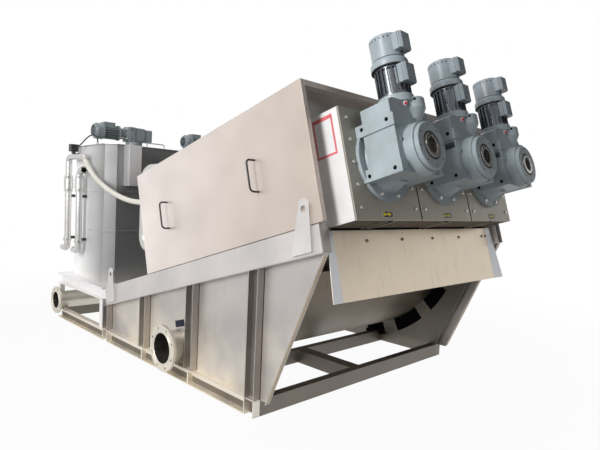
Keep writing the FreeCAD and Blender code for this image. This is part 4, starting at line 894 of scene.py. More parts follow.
def cord_curve(name, points, diameter, material):
    curve = bpy.data.curves.new(name, "CURVE")
    curve.dimensions = "3D"
    curve.resolution_u = 24
    curve.bevel_depth = diameter / 2
    curve.bevel_resolution = 6
    curve.use_fill_caps = True
    spline = curve.splines.new("NURBS")
    spline.points.add(len(points) - 1)
    for point, place in zip(spline.points, points):
        point.co = (*place, 1.0)
    spline.order_u = 3
    spline.use_endpoint_u = True
    curve.materials.append(material)
    piece = new_object(name, curve)
    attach(piece, BODY)
    return piece


hose = cord_curve("wash_hose_braided", HOSE_ROUTE, HOSE_DIAMETER, HOSE_WALL)
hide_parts("wash_hose")
cable = cord_curve("valve_cable_black", CABLE_ROUTE, CABLE_DIAMETER, BLACK_RUBBER)
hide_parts("valve_cable")


# Drive box and chute

def drive_plate_bolts():
    """Bolts of the three plates, each in a ring of painted shadow, and the bolts of the chute."""
    spots = []
    for index in range(3):
        left = -BOX_HALF + PLATE_WIDTH * index
        for y in (left + PLATE_BOLT_INSET, left + PLATE_WIDTH - PLATE_BOLT_INSET):
            spots += [(PLATE_FRONT_U, y, w) for w in PLATE_BOLT_W]
    bolt_set("drive_plate_bolts", spots, M10_HEAD)
    # Painted shadow: a dark ring round each plate bolt
    bolt_shadows = bmesh.new()
    for spot in spots:
        add_disc(bolt_shadows, spot, ALONG, BOLT_SHADOW_RADIUS, BOLT_SHADOW_THICKNESS, segments=20)
    to_piece("drive_plate_bolt_shadows", bolt_shadows, BORE_AND_BOLT_SHADE, place=INCLINE_FRAME)
    ends = [(CHUTE_FRONT_U, y, CHUTE_BOLT_W) for y in CHUTE_BOLT_Y]
    bolt_set("chute_bolts", ends, M10_HEAD, BOLT_DARK)


def box_underside():
    """Painted shade on the box's floor, its dark joints, a painted shadow line above the chute, and a drain
    slot between two lips under every gear unit.
    """
    slots, lips, underside_shade = several(3)
    # Painted shade over the box's floor
    add_block(underside_shade, (BOX_BACK_U + UNDERSIDE_SHADE_BACK, -BOX_HALF + UNDERSIDE_SHADE_EDGE, BOX_BOTTOM_W - UNDERSIDE_SHADE_THICKNESS),
              (BOX_FRONT_U - UNDERSIDE_SHADE_EDGE, BOX_HALF - UNDERSIDE_SHADE_EDGE, BOX_BOTTOM_W))
    to_piece("box_floor_shade_sheet", underside_shade, BOX_FLOOR_SHADE, place=INCLINE_FRAME)
    for y in (-PLATE_WIDTH / 2, PLATE_WIDTH / 2):
        add_block(slots, (PLATE_FRONT_U - PLATE_JOINT_DEPTH, y - PLATE_JOINT_HALF, PLATE_W[0]),
                  (PLATE_FRONT_U + PLATE_JOINT_PROUD, y + PLATE_JOINT_HALF, PLATE_W[1]))
    # Painted shadow line between the chute and the box's floor
    add_block(slots, (BOX_BACK_U, -CHUTE_HALF, CHUTE_SHADOW_W[0]),
              (BOX_BACK_U + CHUTE_SHADOW_DEPTH, CHUTE_HALF, CHUTE_SHADOW_W[1]))
    back = BOX_BACK_U + DRAIN_BACK
    for y in SCREW_Y:
        add_block(slots, (back, y - DRAIN_HALF, BOX_BOTTOM_W - DRAIN_DEPTH),
                  (BOX_FRONT_U, y + DRAIN_HALF, BOX_BOTTOM_W))
        for side in (-1, 1):
            near = y + side * LIP_PLACE
            add_block(lips, (back, near - LIP_HALF, BOX_BOTTOM_W - LIP_DEPTH),
                      (BOX_FRONT_U, near + LIP_HALF, BOX_BOTTOM_W))
    to_piece("box_drain_slots", slots, JOINT_AND_SHADE_BLACK, place=INCLINE_FRAME)
    to_piece("box_drain_lips", lips, DRIVE_PLATE_SHADE, place=INCLINE_FRAME)


def chute_wings():
    """Plain folded ends of the chute, where the middle's painted warm reflection stops."""
    bm = bmesh.new()
    verts = add_block(bm, (CHUTE_FRONT_U, CHUTE_HALF, CHUTE_W[0]),
                      (CHUTE_FRONT_U + WING_SKIN, CHUTE_HALF + WING_SKIN, CHUTE_W[1]))
    outer = [vert for vert in verts if vert.co.y > CHUTE_HALF + WING_SKIN / 2]
    for height, reach in ((CHUTE_W[0], WING_FOOT), (CHUTE_W[1], WING_TOP)):
        ends = [vert for vert in outer if abs(vert.co.z - height) < WING_SKIN]
        bmesh.ops.translate(bm, vec=(WING_FORWARD * reach / WING_FOOT, reach - WING_EDGE, 0), verts=ends)
    both = bmesh.ops.duplicate(bm, geom=bm.verts[:] + bm.edges[:] + bm.faces[:])["geom"]
    twins = [item for item in both if isinstance(item, bmesh.types.BMVert)]
    bmesh.ops.scale(bm, vec=(1, -1, 1), verts=twins)
    to_piece("chute_wing_faces", bm, WING_METAL, place=INCLINE_FRAME)


def rail_end_caps():
    """Welded closing plates on the front ends of both rails, darker than the rails as painted shade, the far
    one near-black.
    """
    for name, side, material in (("rail_end_cap_near", -1, RAIL_END_SHADE),
                                 ("rail_end_cap_far", 1, RAIL_END_DEEP_SHADE)):
        bm = bmesh.new()
        low_y, high_y = sorted((side * (SIDE_Y - RAIL_DEPTH + CAP_INSET), side * (SIDE_Y - CAP_INSET)))
        add_block(bm, (RAIL_END_U, low_y, CAP_INSET),
                  (RAIL_END_U + CAP_THICKNESS, high_y, RAIL_HEIGHT - CAP_INSET), CAP_BEVEL)
        to_piece(name, bm, material, place=INCLINE_FRAME)


def window_painted_shade():
    """Painted shade: near-black strips behind the rows of windows in both trough plates."""
    bm = bmesh.new()
    radial = Vector((sin(SHADE_START), 0, -cos(SHADE_START)))
    across = Vector(ACROSS)
    turn = Matrix((radial, across, radial.cross(across))).transposed().to_4x4()
    inner, outer = SHADE_RADII
    shape = turn @ Matrix.Diagonal((outer - inner, SHADE_THICKNESS, 1, 1))
    for y in (-SHADE_Y, SHADE_Y):
        centre = Vector((TROUGH_CENTRE[0], y, TROUGH_CENTRE[1]))
        place = Matrix.Translation(centre + radial * (inner + outer) / 2) @ shape
        made = bmesh.ops.create_grid(bm, x_segments=1, y_segments=1, size=0.5, matrix=place)["verts"]
        edges = list({edge for vert in made for edge in vert.link_edges})
        faces = list({face for vert in made for face in vert.link_faces})
        bmesh.ops.spin(bm, geom=made + edges + faces, cent=centre, axis=(0, -1, 0), angle=SHADE_ANGLE,
                       steps=SHADE_STEPS)
    to_piece("trough_window_painted_shade", bm, JOINT_AND_SHADE_BLACK)


def upright_strip(bm, low_x, high_x, low_y, high_y):
    """Strip from a post's foot to the underside of the rail, its top cut along the incline."""
    verts = add_block(bm, (low_x, low_y, POST_FOOT_Z), (high_x, high_y, UNCUT_TOP_Z))
    for vert in verts:
        if vert.co.z > (POST_FOOT_Z + UNCUT_TOP_Z) / 2:
            vert.co.z = RAIL_FOOT.z + (vert.co.x - RAIL_FOOT.x) * U_AXIS.z / U_AXIS.x - RAIL_CLEARANCE


def post_and_beam_faces():
    """Painted shade on the insides of the channels and along the skid beams, a painted shadow line beside
    each post, and the plates over the posts' feet.
    """
    shaded_webs, joints, shaded_panels, plates = several(4)
    for side in (-1, 1):
        web = sorted((side * POST_WEB_Y, side * (POST_WEB_Y + WEB_SKIN)))
        wall = sorted((side * WALL_OUTER_Y, side * (WALL_OUTER_Y - SHADOW_LINE_SKIN)))
        beam_low, beam_high = sorted((side * BEAM_WEB_Y, side * (BEAM_WEB_Y + WEB_SKIN)))
        plate_low, plate_high = sorted((side * BEAM_WEB_Y, side * FOOT_PLATE_Y))
        for x in POST_X:
            upright_strip(shaded_webs, x - POST_INNER_HALF, x + POST_INNER_HALF, *web)
            # Painted shadow: a black line on the wall beside each post
            upright_strip(joints, x + POST_HALF + SHADOW_LINE_X[0], x + POST_HALF + SHADOW_LINE_X[1], *wall)
        for low_x, high_x in BEAM_PANELS:
            add_block(shaded_panels, (low_x, beam_low, BEAM_PANEL_Z[0]), (high_x, beam_high, BEAM_PANEL_Z[1]))
        for x in (POST_X[0], POST_X[-1]):
            low_x = x - POST_INNER_HALF
            high_x = x + POST_INNER_HALF
            add_block(shaded_panels, (low_x, beam_low, FOOT_PANEL_Z[0]), (high_x, beam_high, FOOT_PANEL_Z[1]))
            add_block(plates, (low_x, plate_low, FOOT_PLATE_Z[0]), (high_x, plate_high, FOOT_PLATE_Z[1]))
    to_piece("post_web_shade_strips", shaded_webs, WEB_SHADE)
    to_piece("post_wall_shadow_lines", joints, JOINT_AND_SHADE_BLACK)
    to_piece("beam_web_shade_strips", shaded_panels, BEAM_SHADE)
    to_piece("post_foot_plates", plates, SKID_METAL)


def front_edge_strips():
    """Bare metal on the folded front edge of both side walls, with a painted shade line along its fold."""
    foot, top = FRONT_EDGE
    along = (top - foot).normalized()
    across = Vector(ACROSS)
    turn = Matrix((along, across, along.cross(across))).transposed().to_4x4()
    place = Matrix.Translation(foot) @ turn
    length = (top - foot).length
    faces, fold_shades = several(2)
    for side in (-1, 1):
        low_y, high_y = sorted(side * y for y in FRONT_EDGE_Y)
        add_block(faces, (EDGE_FACE_ENDS[0], low_y, -EDGE_FACE_SKIN),
                  (length - EDGE_FACE_ENDS[1], high_y, 0.0))
        middle = side * (FRONT_EDGE_Y[0] + FOLD_LINE_Y)
        # Painted shade line along the fold
        add_block(fold_shades, (FOLD_LINE_ENDS[0], middle - FOLD_LINE_HALF, -FOLD_LINE_DEPTH),
                  (length - FOLD_LINE_ENDS[1], middle + FOLD_LINE_HALF, -EDGE_FACE_SKIN))
    to_piece("front_edge_faces", faces, FRONT_EDGE_METAL, place=place)
    to_piece("front_edge_fold_shade", fold_shades, BEAM_SHADE, place=place)


def pointed_label(bm, u, y, w, length, height, thickness):
    """Flat label on a face square to u, with a point towards +y."""
    low = (u, y - length / 2, w - height / 2)
    verts = add_block(bm, low, (u + thickness, y + length / 2, w + height / 2))
    tips = {vert for vert in verts if vert.co.y > y}
    ends = [edge for edge in {e for v in tips for e in v.link_edges}
            if edge.other_vert(edge.verts[0]) in tips and edge.verts[0] in tips
            and abs(edge.verts[0].co.z - edge.verts[1].co.z) < thickness / 2]
    cut_edges(bm, ends, LABEL_POINT * height / 2)


def arrow_shape(bm, u, y, w, thickness):
    """Arrow with a tail of two small fins, its tip towards +y."""
    add_block(bm, (u, y + ARROW_SHAFT_Y[0], w - ARROW_SHAFT_HALF),
              (u + thickness, y + ARROW_SHAFT_Y[1], w + ARROW_SHAFT_HALF))
    for side in (-1, 1):
        fin_w = w + side * ARROW_FIN_W
        add_block(bm, (u, y + ARROW_FIN_Y[0], fin_w - ARROW_FIN_HALF),
                  (u + thickness, y + ARROW_FIN_Y[1], fin_w + ARROW_FIN_HALF))
    shape = Matrix(((0, 0, 1), (0, ARROW_TIP / 1.5, 0), (-ARROW_TIP / sqrt(3), 0, 0))).to_4x4()
    place = Matrix.Translation((u + thickness / 2, y + ARROW_SHAFT_Y[1] + ARROW_TIP / 3, w)) @ shape
    bmesh.ops.create_cone(bm, cap_ends=True, segments=3, radius1=1, radius2=1, depth=thickness, matrix=place)


def direction_arrows():
    """Yellow arrow on a black pointed label with a white edge, on each drive plate."""
    edges, grounds, arrows = several(3)
    ground_u = PLATE_FRONT_U + ARROW_LAYERS[0]
    for y in ARROW_Y:
        pointed_label(edges, PLATE_FRONT_U, y, ARROW_W, ARROW_LENGTH, ARROW_HEIGHT, ARROW_LAYERS[0])
        pointed_label(grounds, ground_u, y, ARROW_W, ARROW_LENGTH - ARROW_EDGE, ARROW_HEIGHT - ARROW_EDGE,
                      ARROW_LAYERS[1])
        arrow_shape(arrows, ground_u + ARROW_LAYERS[1], y, ARROW_W, ARROW_LAYERS[2])
    for name, bm, material in (("arrow_edges", edges, LABEL_WHITE), ("arrow_grounds", grounds, LABEL_BLACK),
                               ("arrow_signs", arrows, LABEL_YELLOW)):
        to_piece(name, bm, material, place=INCLINE_FRAME)


def blank_notice():
    """Blank sheet with a faded red edge on the side of the drive box."""
    low_u, high_u = NOTICE_U
    low_w, high_w = NOTICE_W
    face = -BOX_HALF - NOTICE_EDGE_SKIN
    edge, sheet = several(2)
    add_block(edge, (low_u, face, low_w), (high_u, -BOX_HALF, high_w))
    to_piece("notice_edge", edge, LABEL_PINK, place=INCLINE_FRAME)
    add_block(sheet, (low_u + NOTICE_BORDER, -BOX_HALF - NOTICE_SHEET_SKIN, low_w + NOTICE_BORDER),
              (high_u - NOTICE_BORDER, face, high_w - NOTICE_HEAD))
    to_piece("notice_sheet", sheet, LABEL_WHITE, place=INCLINE_FRAME)


# Gear units and motors

def gear_front_fittings(y, plugs, holes, collars, caps):
    """Plugs and breather on the front of one gear unit, and the dark eye in its boss."""
    for dy, w, radius in OIL_PLUGS:
        add_disc(plugs, (GEAR_FRONT_U, y + dy, w), ALONG, radius, PLUG_HEIGHT, segments=6)
        add_disc(holes, (GEAR_FRONT_U + PLUG_HEIGHT, y + dy, w), ALONG, radius * SOCKET_SHARE, SOCKET_DEPTH,
                 segments=6)
    low_y, high_y = CAST_BAR_Y
    add_block(plugs, (GEAR_FRONT_U, y + low_y, CAST_BAR_W[0]),
              (GEAR_FRONT_U + CAST_BAR_HEIGHT, y + high_y, CAST_BAR_W[1]), CAST_BAR_BEVEL)
    start = Vector((GEAR_FRONT_U - BREATHER_SINK, y + BREATHER_Y, BREATHER_W))
    add_disc(collars, start, BREATHER_AWAY, BREATHER_RADIUS, BREATHER_COLLAR, segments=20)
    cap = start + BREATHER_AWAY * BREATHER_COLLAR + BREATHER_CAP_SHIFT
    add_disc(caps, cap, BREATHER_AWAY, *BREATHER_CAP, 20)
    boss = Vector((BOSS_U, y + BOSS_Y, BOSS_EYE_W))
    eye = boss + BOSS_EYE_AWAY * (BOSS_RADIUS - BOSS_EYE_SINK)
    add_disc(holes, eye, BOSS_EYE_AWAY, BOSS_EYE_RADIUS, BOSS_EYE_DEPTH, segments=16)


def gear_unit_fittings():
    """Flange bolts, hub screws and seal, tapped holes, plugs, breather and blank plates of the gear units."""
    flange, plugs, holes, collars, caps, seals, plates = several(7)
    seal_radii = (HOLLOW_SHAFT_RADIUS + SHAFT_SEAL_GAPS[0], HUB_RECESS_RADIUS - SHAFT_SEAL_GAPS[1])
    for index, y in enumerate(SCREW_Y):
        for spot in on_circle((GEAR_FLANGE_FRONT_U, y, SCREW_W), FLANGE_BOLT_RADIUS, FLANGE_BOLT_ANGLES):
            add_bolt(flange, spot, ALONG, M12_HEAD)
        hub_angles = even_angles(HUB_SCREWS, HUB_SCREW_START)
        for spot in on_circle((HUB_FRONT_U, y, SCREW_W), HUB_SCREW_RADIUS, hub_angles):
            add_disc(holes, spot, ALONG, HUB_SCREW_HOLE, HUB_SCREW_DEPTH, segments=10)
        seat = (HUB_FRONT_U - HUB_RECESS_DEPTH, y, SCREW_W)
        add_flat_ring(seals, seat, ALONG, *seal_radii, SHAFT_SEAL_THICKNESS)
        for side in (-1, 1):
            for u in PAD_HOLE_U:
                for w in PAD_HOLE_W:
                    start = (u, y + side * (GEAR_HALF - PAD_HOLE_DEPTH), w)
                    add_disc(holes, start, (0, side, 0), PAD_HOLE_RADIUS - PAD_HOLE_GAP, PAD_HOLE_FLOOR,
                             segments=24)
        gear_front_fittings(y, plugs, holes, collars, caps)
        if index > 0:
            side_y = y - CASE_HALF
            add_block(plates, (BLANK_PLATE_U[0], side_y - BLANK_PLATE_THICKNESS, BLANK_PLATE_W[0]),
                      (BLANK_PLATE_U[1], side_y, BLANK_PLATE_W[1]), BLANK_PLATE_BEVEL)
    for name, bm, material in (
            ("gear_flange_bolts", flange, BOLT_METAL), ("gear_oil_plugs", plugs, GEAR_PAINT),
            ("gear_dark_sockets", holes, JOINT_AND_SHADE_BLACK), ("breather_collars", collars, LABEL_WHITE),
            ("breather_caps", caps, PLUG_RED), ("hub_shaft_seals", seals, BLACK_RUBBER),
            ("gear_blank_plates", plates, NAME_PLATE)):
        to_piece(name, bm, material, place=INCLINE_FRAME)


def terminal_box(skins, marks, y, front, half, low_w, high_w):
    """Painted box with cut front corners, a dark joint line behind its lid and a screw in each lid corner."""
    verts = add_block(skins, (TERMINAL_BOX_BACK_U - SKIN, y - half - SKIN, low_w - SKIN),
                      (front + SKIN, y + half + SKIN, high_w + SKIN))
    fronts = {vert for vert in verts if vert.co.x > front}
    corners = [edge for edge in {e for v in fronts for e in v.link_edges}
               if set(edge.verts) <= fronts and abs(edge.verts[0].co.z - edge.verts[1].co.z) > BOX_CHAMFER]
    cut_edges(skins, corners, BOX_CHAMFER)
    joint_u = front - BOX_CHAMFER - LID_JOINT_BACK
    add_block(marks, (joint_u, y - half - 2 * SKIN, low_w - 2 * SKIN),
              (joint_u + LID_JOINT_WIDTH, y + half + 2 * SKIN, high_w + 2 * SKIN))
    for dy in (-half + BOX_CHAMFER + LID_SCREW_Y, half - BOX_CHAMFER - LID_SCREW_Y):
        for w in (low_w + LID_SCREW_W, high_w - LID_SCREW_W):
            add_disc(marks, (front + SKIN, y + dy, w), ALONG, LID_SCREW_RADIUS, LID_SCREW_HEIGHT,
                     segments=10)


def fan_fittings(y, guards, openings, seals):
    """Guard over the fan's open end, the air holes round its rim and the joint at its foot."""
    add_disc(openings, (MOTOR_U, y, FAN_TOP_W), UP, FAN_OPENING, OPENING_DISC, segments=48)
    for radius in FAN_GUARD_RADII:
        add_ring(guards, (MOTOR_U, y, FAN_TOP_W + FAN_WIRE_RISE), UP, radius, FAN_WIRE)
    for angle in even_angles(4, pi / 4):
        spoke = (cos(angle), sin(angle), 0)
        add_disc(guards, (MOTOR_U, y, FAN_TOP_W + FAN_SPOKE_RISE), spoke, *FAN_SPOKE, segments=8)
    for angle in even_angles(FAN_AIR_HOLES):
        out = Vector((cos(angle), sin(angle), 0))
        centre = Vector((MOTOR_U, y, FAN_TOP_W - FAN_AIR_HOLE_DROP)) + out * (FAN_RADIUS - FAN_AIR_HOLE_SINK)
        add_disc(openings, centre, out, *FAN_AIR_HOLE, segments=10)
    add_ring(seals, (MOTOR_U, y, FAN_FOOT_W), UP, FAN_RADIUS, FAN_JOINT, 64)


def motor_fittings():
    """Seal ring under the cowl, terminal boxes with their glands, and the fan's guard and air holes."""
    seals, skins, marks, glands, guards, openings = several(6)
    for y in SCREW_Y:
        seat = (MOTOR_U, y, MOTOR_TOP_W - COWL_SEAL_SINK)
        outer = COWL_BASE_RADIUS + COWL_SEAL_PROUD
        add_flat_ring(seals, seat, UP, COWL_SEAL_INNER, outer, COWL_SEAL_HEIGHT)
        terminal_box(skins, marks, y, TERMINAL_BOX_FRONT_U, TERMINAL_BOX_HALF, *TERMINAL_BOX_W)
        terminal_box(skins, marks, y, FAN_BOX_FRONT_U, FAN_BOX_HALF, *FAN_BOX_W)
        for dy in (-GLAND_Y, GLAND_Y):
            add_disc(glands, (GLAND_U, y + dy, TERMINAL_BOX_W[0] - GLAND_DROP), UP, *GLAND_NUT, segments=6)
            add_disc(glands, (GLAND_U, y + dy, TERMINAL_BOX_W[0] - 2 * GLAND_DROP), UP, *GLAND_TAIL, 16)
        add_disc(glands, (FAN_GLAND_U, y, FAN_BOX_W[0] - GLAND_DROP), UP, *FAN_GLAND_NUT, segments=6)
        fan_fittings(y, guards, openings, seals)
    for name, bm, material, slot in (("cowl_seals", seals, BLACK_RUBBER, "drive_paint"),
                                     ("terminal_box_shells", skins, COWL_PAINT, "drive_paint"),
                                     ("terminal_box_marks", marks, JOINT_AND_SHADE_BLACK, "drive_paint"),
                                     ("motor_glands", glands, BLACK_PLASTIC, "motor_body"),
                                     ("fan_guards", guards, COWL_PAINT, "drive_paint"),
                                     ("fan_air_openings", openings, JOINT_AND_SHADE_BLACK, "drive_paint")):
        to_piece(name, bm, material, place=INCLINE_FRAME)


# Tank, agitators and risers

def agitator_fittings():
    """Cowl with its guard, painted shade between the fins, studs of the adapter, lid of the terminal box and
    bolts of the foot.
    """
    pale, fins, openings, bolts = several(4)
    back = Vector((0, -1, 0))
    stud_length = AGITATOR_ADAPTER - 2 * AGITATOR_ADAPTER_RIM
    for y in AGITATOR_Y:
        gear_end = Vector((AGITATOR_X, y - AGITATOR_GEAR_HALF, AGITATOR_AXIS_Z))
        body = gear_end + back * AGITATOR_ADAPTER
        cowl = body + back * AGITATOR_MOTOR
        face = cowl + back * (AGITATOR_COWL + AGITATOR_TAPER)
        add_disc(pale, cowl - back * AGITATOR_SKIN_LAP, back, AGITATOR_COWL_RADIUS + AGITATOR_SKIN,
                 AGITATOR_SKIN_LENGTH, segments=64)
        add_disc(openings, face, back, AGITATOR_OPENING, OPENING_DISC, segments=40)
        # Painted shade: a near-black core between the fins' roots
        fins_start, fins_length = AGITATOR_FIN_SPAN
        add_disc(fins, body + back * fins_start, back, AGITATOR_FIN_ROOT, fins_length, segments=64)
        guard = face + back * AGITATOR_GUARD_RISE
        for radius in AGITATOR_GUARD_RADII:
            add_ring(pale, guard, back, radius, AGITATOR_WIRE, 32)
        for angle in even_angles(4, pi / 4):
            spoke = (cos(angle), 0, sin(angle))
            add_disc(pale, guard, spoke, *AGITATOR_SPOKE, segments=8)
        lid_z = AGITATOR_AXIS_Z + AGITATOR_LID_RISE
        low = (AGITATOR_X - AGITATOR_LID_HALF, cowl.y, lid_z)
        high = (AGITATOR_X + AGITATOR_LID_HALF, cowl.y + AGITATOR_LID_LENGTH, lid_z + AGITATOR_LID_HEIGHT)
        add_block(pale, low, high, AGITATOR_LID_BEVEL)
        for angle in even_angles(4, pi / 4):
            out = Vector((cos(angle), 0, sin(angle)))
            start = gear_end + out * AGITATOR_STUD_RADIUS + back * AGITATOR_ADAPTER_RIM
            add_disc(bolts, start, back, AGITATOR_STUD, stud_length, segments=12)
            add_bolt(bolts, start, back, M8_HEAD)
            end = body + out * AGITATOR_STUD_RADIUS - back * AGITATOR_ADAPTER_RIM
            add_bolt(bolts, end, -back, M8_HEAD)
        for angle in even_angles(8, pi / 8):
            spot = (AGITATOR_X + AGITATOR_FOOT_RADIUS * cos(angle),
                    y - AGITATOR_SEAT_SHIFT + AGITATOR_FOOT_RADIUS * sin(angle), AGITATOR_FOOT_TOP)
            add_bolt(bolts, spot, UP, M6_HEAD)
    to_piece("agitator_fin_shade_core", fins, AGITATOR_FIN_SHADE)
    to_piece("agitator_cowls", pale, AGITATOR_PALE)
    to_piece("agitator_air_openings", openings, JOINT_AND_SHADE_BLACK)
    to_piece("agitator_bolts", bolts, BOLT_METAL)


def riser_fittings():
    """Union nuts, valve levers, pipe clamps and dark open ends of the two risers."""
    nuts, levers, bands, knobs, ends = several(5)
    for x in RISER_X:
        for z in RISER_UNION_Z:
            add_disc(nuts, (x, RISER_Y, z), UP, NUT_RADIUS, NUT_HEIGHT, segments=6)
            collar = (x, RISER_Y, z - NUT_COLLAR_DROP)
            add_flat_ring(nuts, collar, UP, RISER_RADIUS, NUT_COLLAR_RADIUS, NUT_COLLAR, 32)
        stem = Vector((x - LEVER_REACH, RISER_Y, VALVE_Z))
        add_disc(levers, stem + LEVER_STEM_BACK, (-1, 0, 0), *LEVER_STEM, segments=12)
        low, high = (stem + Vector(corner) for corner in LEVER_CORNERS)
        add_block(levers, low, high, LEVER_BEVEL)
        for z in CLAMP_Z:
            band = (x, RISER_Y, z - CLAMP_BAND / 2)
            add_disc(bands, band, UP, CLAMP_BAND_RADIUS, CLAMP_BAND, segments=40)
            low = (x - CLAMP_HALF[0], RISER_Y + CLAMP_KNOB_Y, z - CLAMP_HALF[1])
            add_block(knobs, low, (x + CLAMP_HALF[0], CLAMP_FOOT_Y, z + CLAMP_HALF[1]), CLAMP_BEVEL)
    opening = RISER_RADIUS - RISER_WALL
    elbow = Vector((RISER_X[1] + RISER_ARM, RISER_Y, RISER_TOP_Z))
    add_disc(ends, elbow, ALONG, opening, PIPE_END_DISC, segments=32)
    add_flat_ring(nuts, elbow - Vector((ELBOW_COLLAR, 0, 0)), ALONG, *ELBOW_COLLAR_RADII, ELBOW_COLLAR, 32)
    for x in RISER_X:
        foot = (x - RISER_FOOT, RISER_Y, RISER_FOOT_Z)
        add_disc(ends, foot, (-1, 0, 0), opening, PIPE_END_DISC, segments=32)
    to_piece("riser_open_ends", ends, JOINT_AND_SHADE_BLACK)
    to_piece("riser_union_nuts", nuts, PIPE_METAL)
    to_piece("riser_valve_levers", levers, BLACK_PLASTIC)
    to_piece("riser_clamp_bands", bands, PIPE_METAL)
    to_piece("riser_clamp_knobs", knobs, BLACK_PLASTIC)


def flange_faces():
    """Turned ridges on both flanges, painted shade inside the pipes and the welds behind the flanges."""
    ridges, welds, bore_shades = several(3)
    for centre, bore, face, depth in ((OUTLET, *OUTLET_RADII, OUTLET_DEPTH),
                                      (INLET, *INLET_RADII, INLET_DEPTH)):
        mouth = centre + Vector((0, BORE_SHADE_SINK, 0))
        bottom = centre + Vector((0, depth, 0))
        # Painted shade inside the pipe
        add_flat_ring(bore_shades, mouth, ACROSS, bore - BORE_SHADE_GAPS[0], bore - BORE_SHADE_GAPS[1], depth)
        add_disc(bore_shades, bottom, ACROSS, bore - BORE_SHADE_END_GAP, BORE_SHADE_END, segments=64)
        for radius in (bore + FIRST_RIDGE, (bore + face) / 2, face):
            add_ring(ridges, centre, ACROSS, radius, RIDGE_RADIUS, 64)
        add_ring(welds, centre + Vector((0, FLANGE_WELD_Y, 0)), ACROSS, bore + WELD_RADIUS, WELD_RADIUS, 64)
    wall_spot = (OUTLET.x, WALL_OUTER_Y - WALL_WELD_RISE, OUTLET.z)
    add_ring(welds, wall_spot, ACROSS, WALL_WELD_RADIUS, WELD_RADIUS, 64)
    to_piece("pipe_bore_shade_sleeves", bore_shades, BORE_AND_BOLT_SHADE)
    to_piece("flange_turned_ridges", ridges, FLANGE_METAL)
    to_piece("pipe_welds", welds, WELD_METAL)


def wall_label():
    """Small blank label on the near side wall, in line with the rail."""
    bm = bmesh.new()
    half_u, half_w = LABEL_HALF
    add_block(bm, (LABEL_U - half_u, WALL_OUTER_Y - LABEL_THICKNESS, LABEL_W - half_w),
              (LABEL_U + half_u, WALL_OUTER_Y, LABEL_W + half_w))
    to_piece("blank_wall_label", bm, LABEL_BLUE, place=INCLINE_FRAME)


drive_plate_bolts()
box_underside()
chute_wings()
rail_end_caps()
window_painted_shade()
post_and_beam_faces()
front_edge_strips()
direction_arrows()
blank_notice()
gear_unit_fittings()
motor_fittings()
agitator_fittings()
riser_fittings()
flange_faces()
wall_label()


# Studio

def shader_mix(tree, weight, first, second):
    blend = tree.nodes.new("ShaderNodeMixShader")
    for socket, value in zip(blend.inputs, (weight, first, second)):
        tree.links.new(value, socket)
    return blend.outputs[0]


def backdrop():
    """White floor that keeps the shadow."""
    bm = bmesh.new()
    bmesh.ops.create_grid(bm, x_segments=1, y_segments=1, size=FLOOR_SIZE)
    mesh = new_mesh("studio_floor", bm)
    floor = new_object("studio_floor", mesh)
    floor.location.z = FLOOR_Z
    material = bpy.data.materials.new("floor_white")
    material.use_nodes = True
    tree = material.node_tree
    tree.nodes.clear()
    matte = tree.nodes.new("ShaderNodeBsdfDiffuse")
    matte.inputs["Color"].default_value = (FLOOR_GREY, FLOOR_GREY, FLOOR_GREY, 1)
    glow = tree.nodes.new("ShaderNodeEmission")
    glow.inputs["Color"].default_value = (1, 1, 1, 1)
    place = tree.nodes.new("ShaderNodeTexCoord").outputs["Object"]
    far = tree.nodes.new("ShaderNodeVectorMath")
    far.operation = "LENGTH"
    tree.links.new(place, far.inputs[0])
    glow_level = spread(tree, far.outputs["Value"], *CLEAR_FLOOR, FLOOR_GLOW, 1.0)
    weight = calculate(tree, "MULTIPLY", seen_plainly(tree), glow_level)
    out = tree.nodes.new("ShaderNodeOutputMaterial")
    tree.links.new(shader_mix(tree, weight, matte.outputs[0], glow.outputs[0]), out.inputs["Surface"])
    mesh.materials.append(material)


def seen_plainly(tree):
    """1 for the rays that show the backdrop itself: the camera's, and those off metal or through glass."""
    rays = tree.nodes.new("ShaderNodeLightPath").outputs
    seen = calculate(tree, "MAXIMUM", rays["Is Camera Ray"], rays["Is Glossy Ray"])
    return calculate(tree, "MAXIMUM", seen, rays["Is Transmission Ray"])


def studio_world():
    """White where it is seen, and a soft grey light to everything else."""
    world = bpy.data.worlds.new("studio")
    bpy.context.scene.world = world
    world.use_nodes = True
    tree = world.node_tree
    tree.nodes.clear()
    shades = []
    for level in (AMBIENT, 1.0):
        shade = tree.nodes.new("ShaderNodeBackground")
        shade.inputs["Color"].default_value = (1, 1, 1, 1)
        shade.inputs["Strength"].default_value = level
        shades.append(shade.outputs[0])
    out = tree.nodes.new("ShaderNodeOutputWorld")
    tree.links.new(shader_mix(tree, seen_plainly(tree), *shades), out.inputs["Surface"])


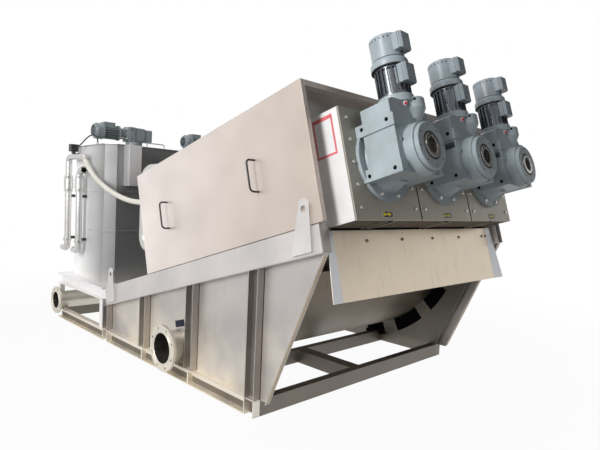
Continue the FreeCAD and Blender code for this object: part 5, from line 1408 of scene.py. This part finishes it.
def dark_card(name, place, target, size):
    """Grey studio card that the camera doesn't see: it gives the metal something dark to show."""
    bm = bmesh.new()
    turn = (Vector(target) - Vector(place)).to_track_quat("Z", "Y").to_matrix().to_4x4()
    matrix = Matrix.Translation(place) @ turn @ Matrix.Diagonal((size[0], size[1], 1, 1))
    bmesh.ops.create_grid(bm, x_segments=1, y_segments=1, size=0.5, matrix=matrix)
    mesh = new_mesh(name, bm)
    material = bpy.data.materials.new(name + "_grey")
    material.use_nodes = True
    shader = material.node_tree.nodes["Principled BSDF"]
    shader.inputs["Base Color"].default_value = (CARD_GREY, CARD_GREY, CARD_GREY, 1)
    shader.inputs["Roughness"].default_value = 1.0
    mesh.materials.append(material)
    card = new_object(name, mesh)
    card.visible_camera = False
    card.visible_shadow = False
    card.visible_diffuse = False


def area_light(name, place, target, size, watts):
    light = bpy.data.lights.new(name, "AREA")
    light.shape = "RECTANGLE"
    light.size, light.size_y = size
    light.energy = watts
    lamp = new_object(name, light)
    lamp.location = place
    lamp.rotation_euler = (Vector(target) - Vector(place)).to_track_quat("-Z", "Y").to_euler()


def photograph_camera():
    ahead = Vector((-sin(CAMERA_YAW) * cos(CAMERA_PITCH), cos(CAMERA_YAW) * cos(CAMERA_PITCH),
                    sin(CAMERA_PITCH)))
    level = Vector((cos(CAMERA_YAW), sin(CAMERA_YAW), 0))
    upward = level.cross(ahead)
    right = level * cos(CAMERA_ROLL) + upward * sin(CAMERA_ROLL)
    up = upward * cos(CAMERA_ROLL) - level * sin(CAMERA_ROLL)
    data = bpy.data.cameras.new("photograph")
    data.sensor_width = SENSOR_WIDTH
    data.lens = FOCAL_PIXELS / PICTURE_WIDTH * SENSOR_WIDTH
    camera = new_object("photograph", data)
    turn = Matrix((right, up, -ahead)).transposed().to_4x4()
    camera.matrix_world = Matrix.Translation(CAMERA_PLACE) @ turn
    bpy.context.scene.camera = camera


backdrop()
studio_world()
dark_card("card_drive_side", (4.2, 4.1, 4.7), (2.3, -0.6, 1.5), (9.0, 4.0))
dark_card("card_tank_gap_low", (-0.45, 0.0, 0.92), (-1.0, 0.0, 0.92), (1.9, 0.84))
dark_card("card_tank_gap_high", (-0.45, 0.28, 1.56), (-1.0, 0.28, 1.56), (1.35, 0.44))
area_light("key", (1.9, -7.6, 3.7), (0.9, -0.5, 1.0), (2.0, 4.4), 500.0)
area_light("overhead", (-0.5, -0.5, 6.5), (0.2, 0.0, 1.0), (5.0, 4.0), 60.0)
photograph_camera()
bpy.context.scene.view_settings.view_transform = "Standard"
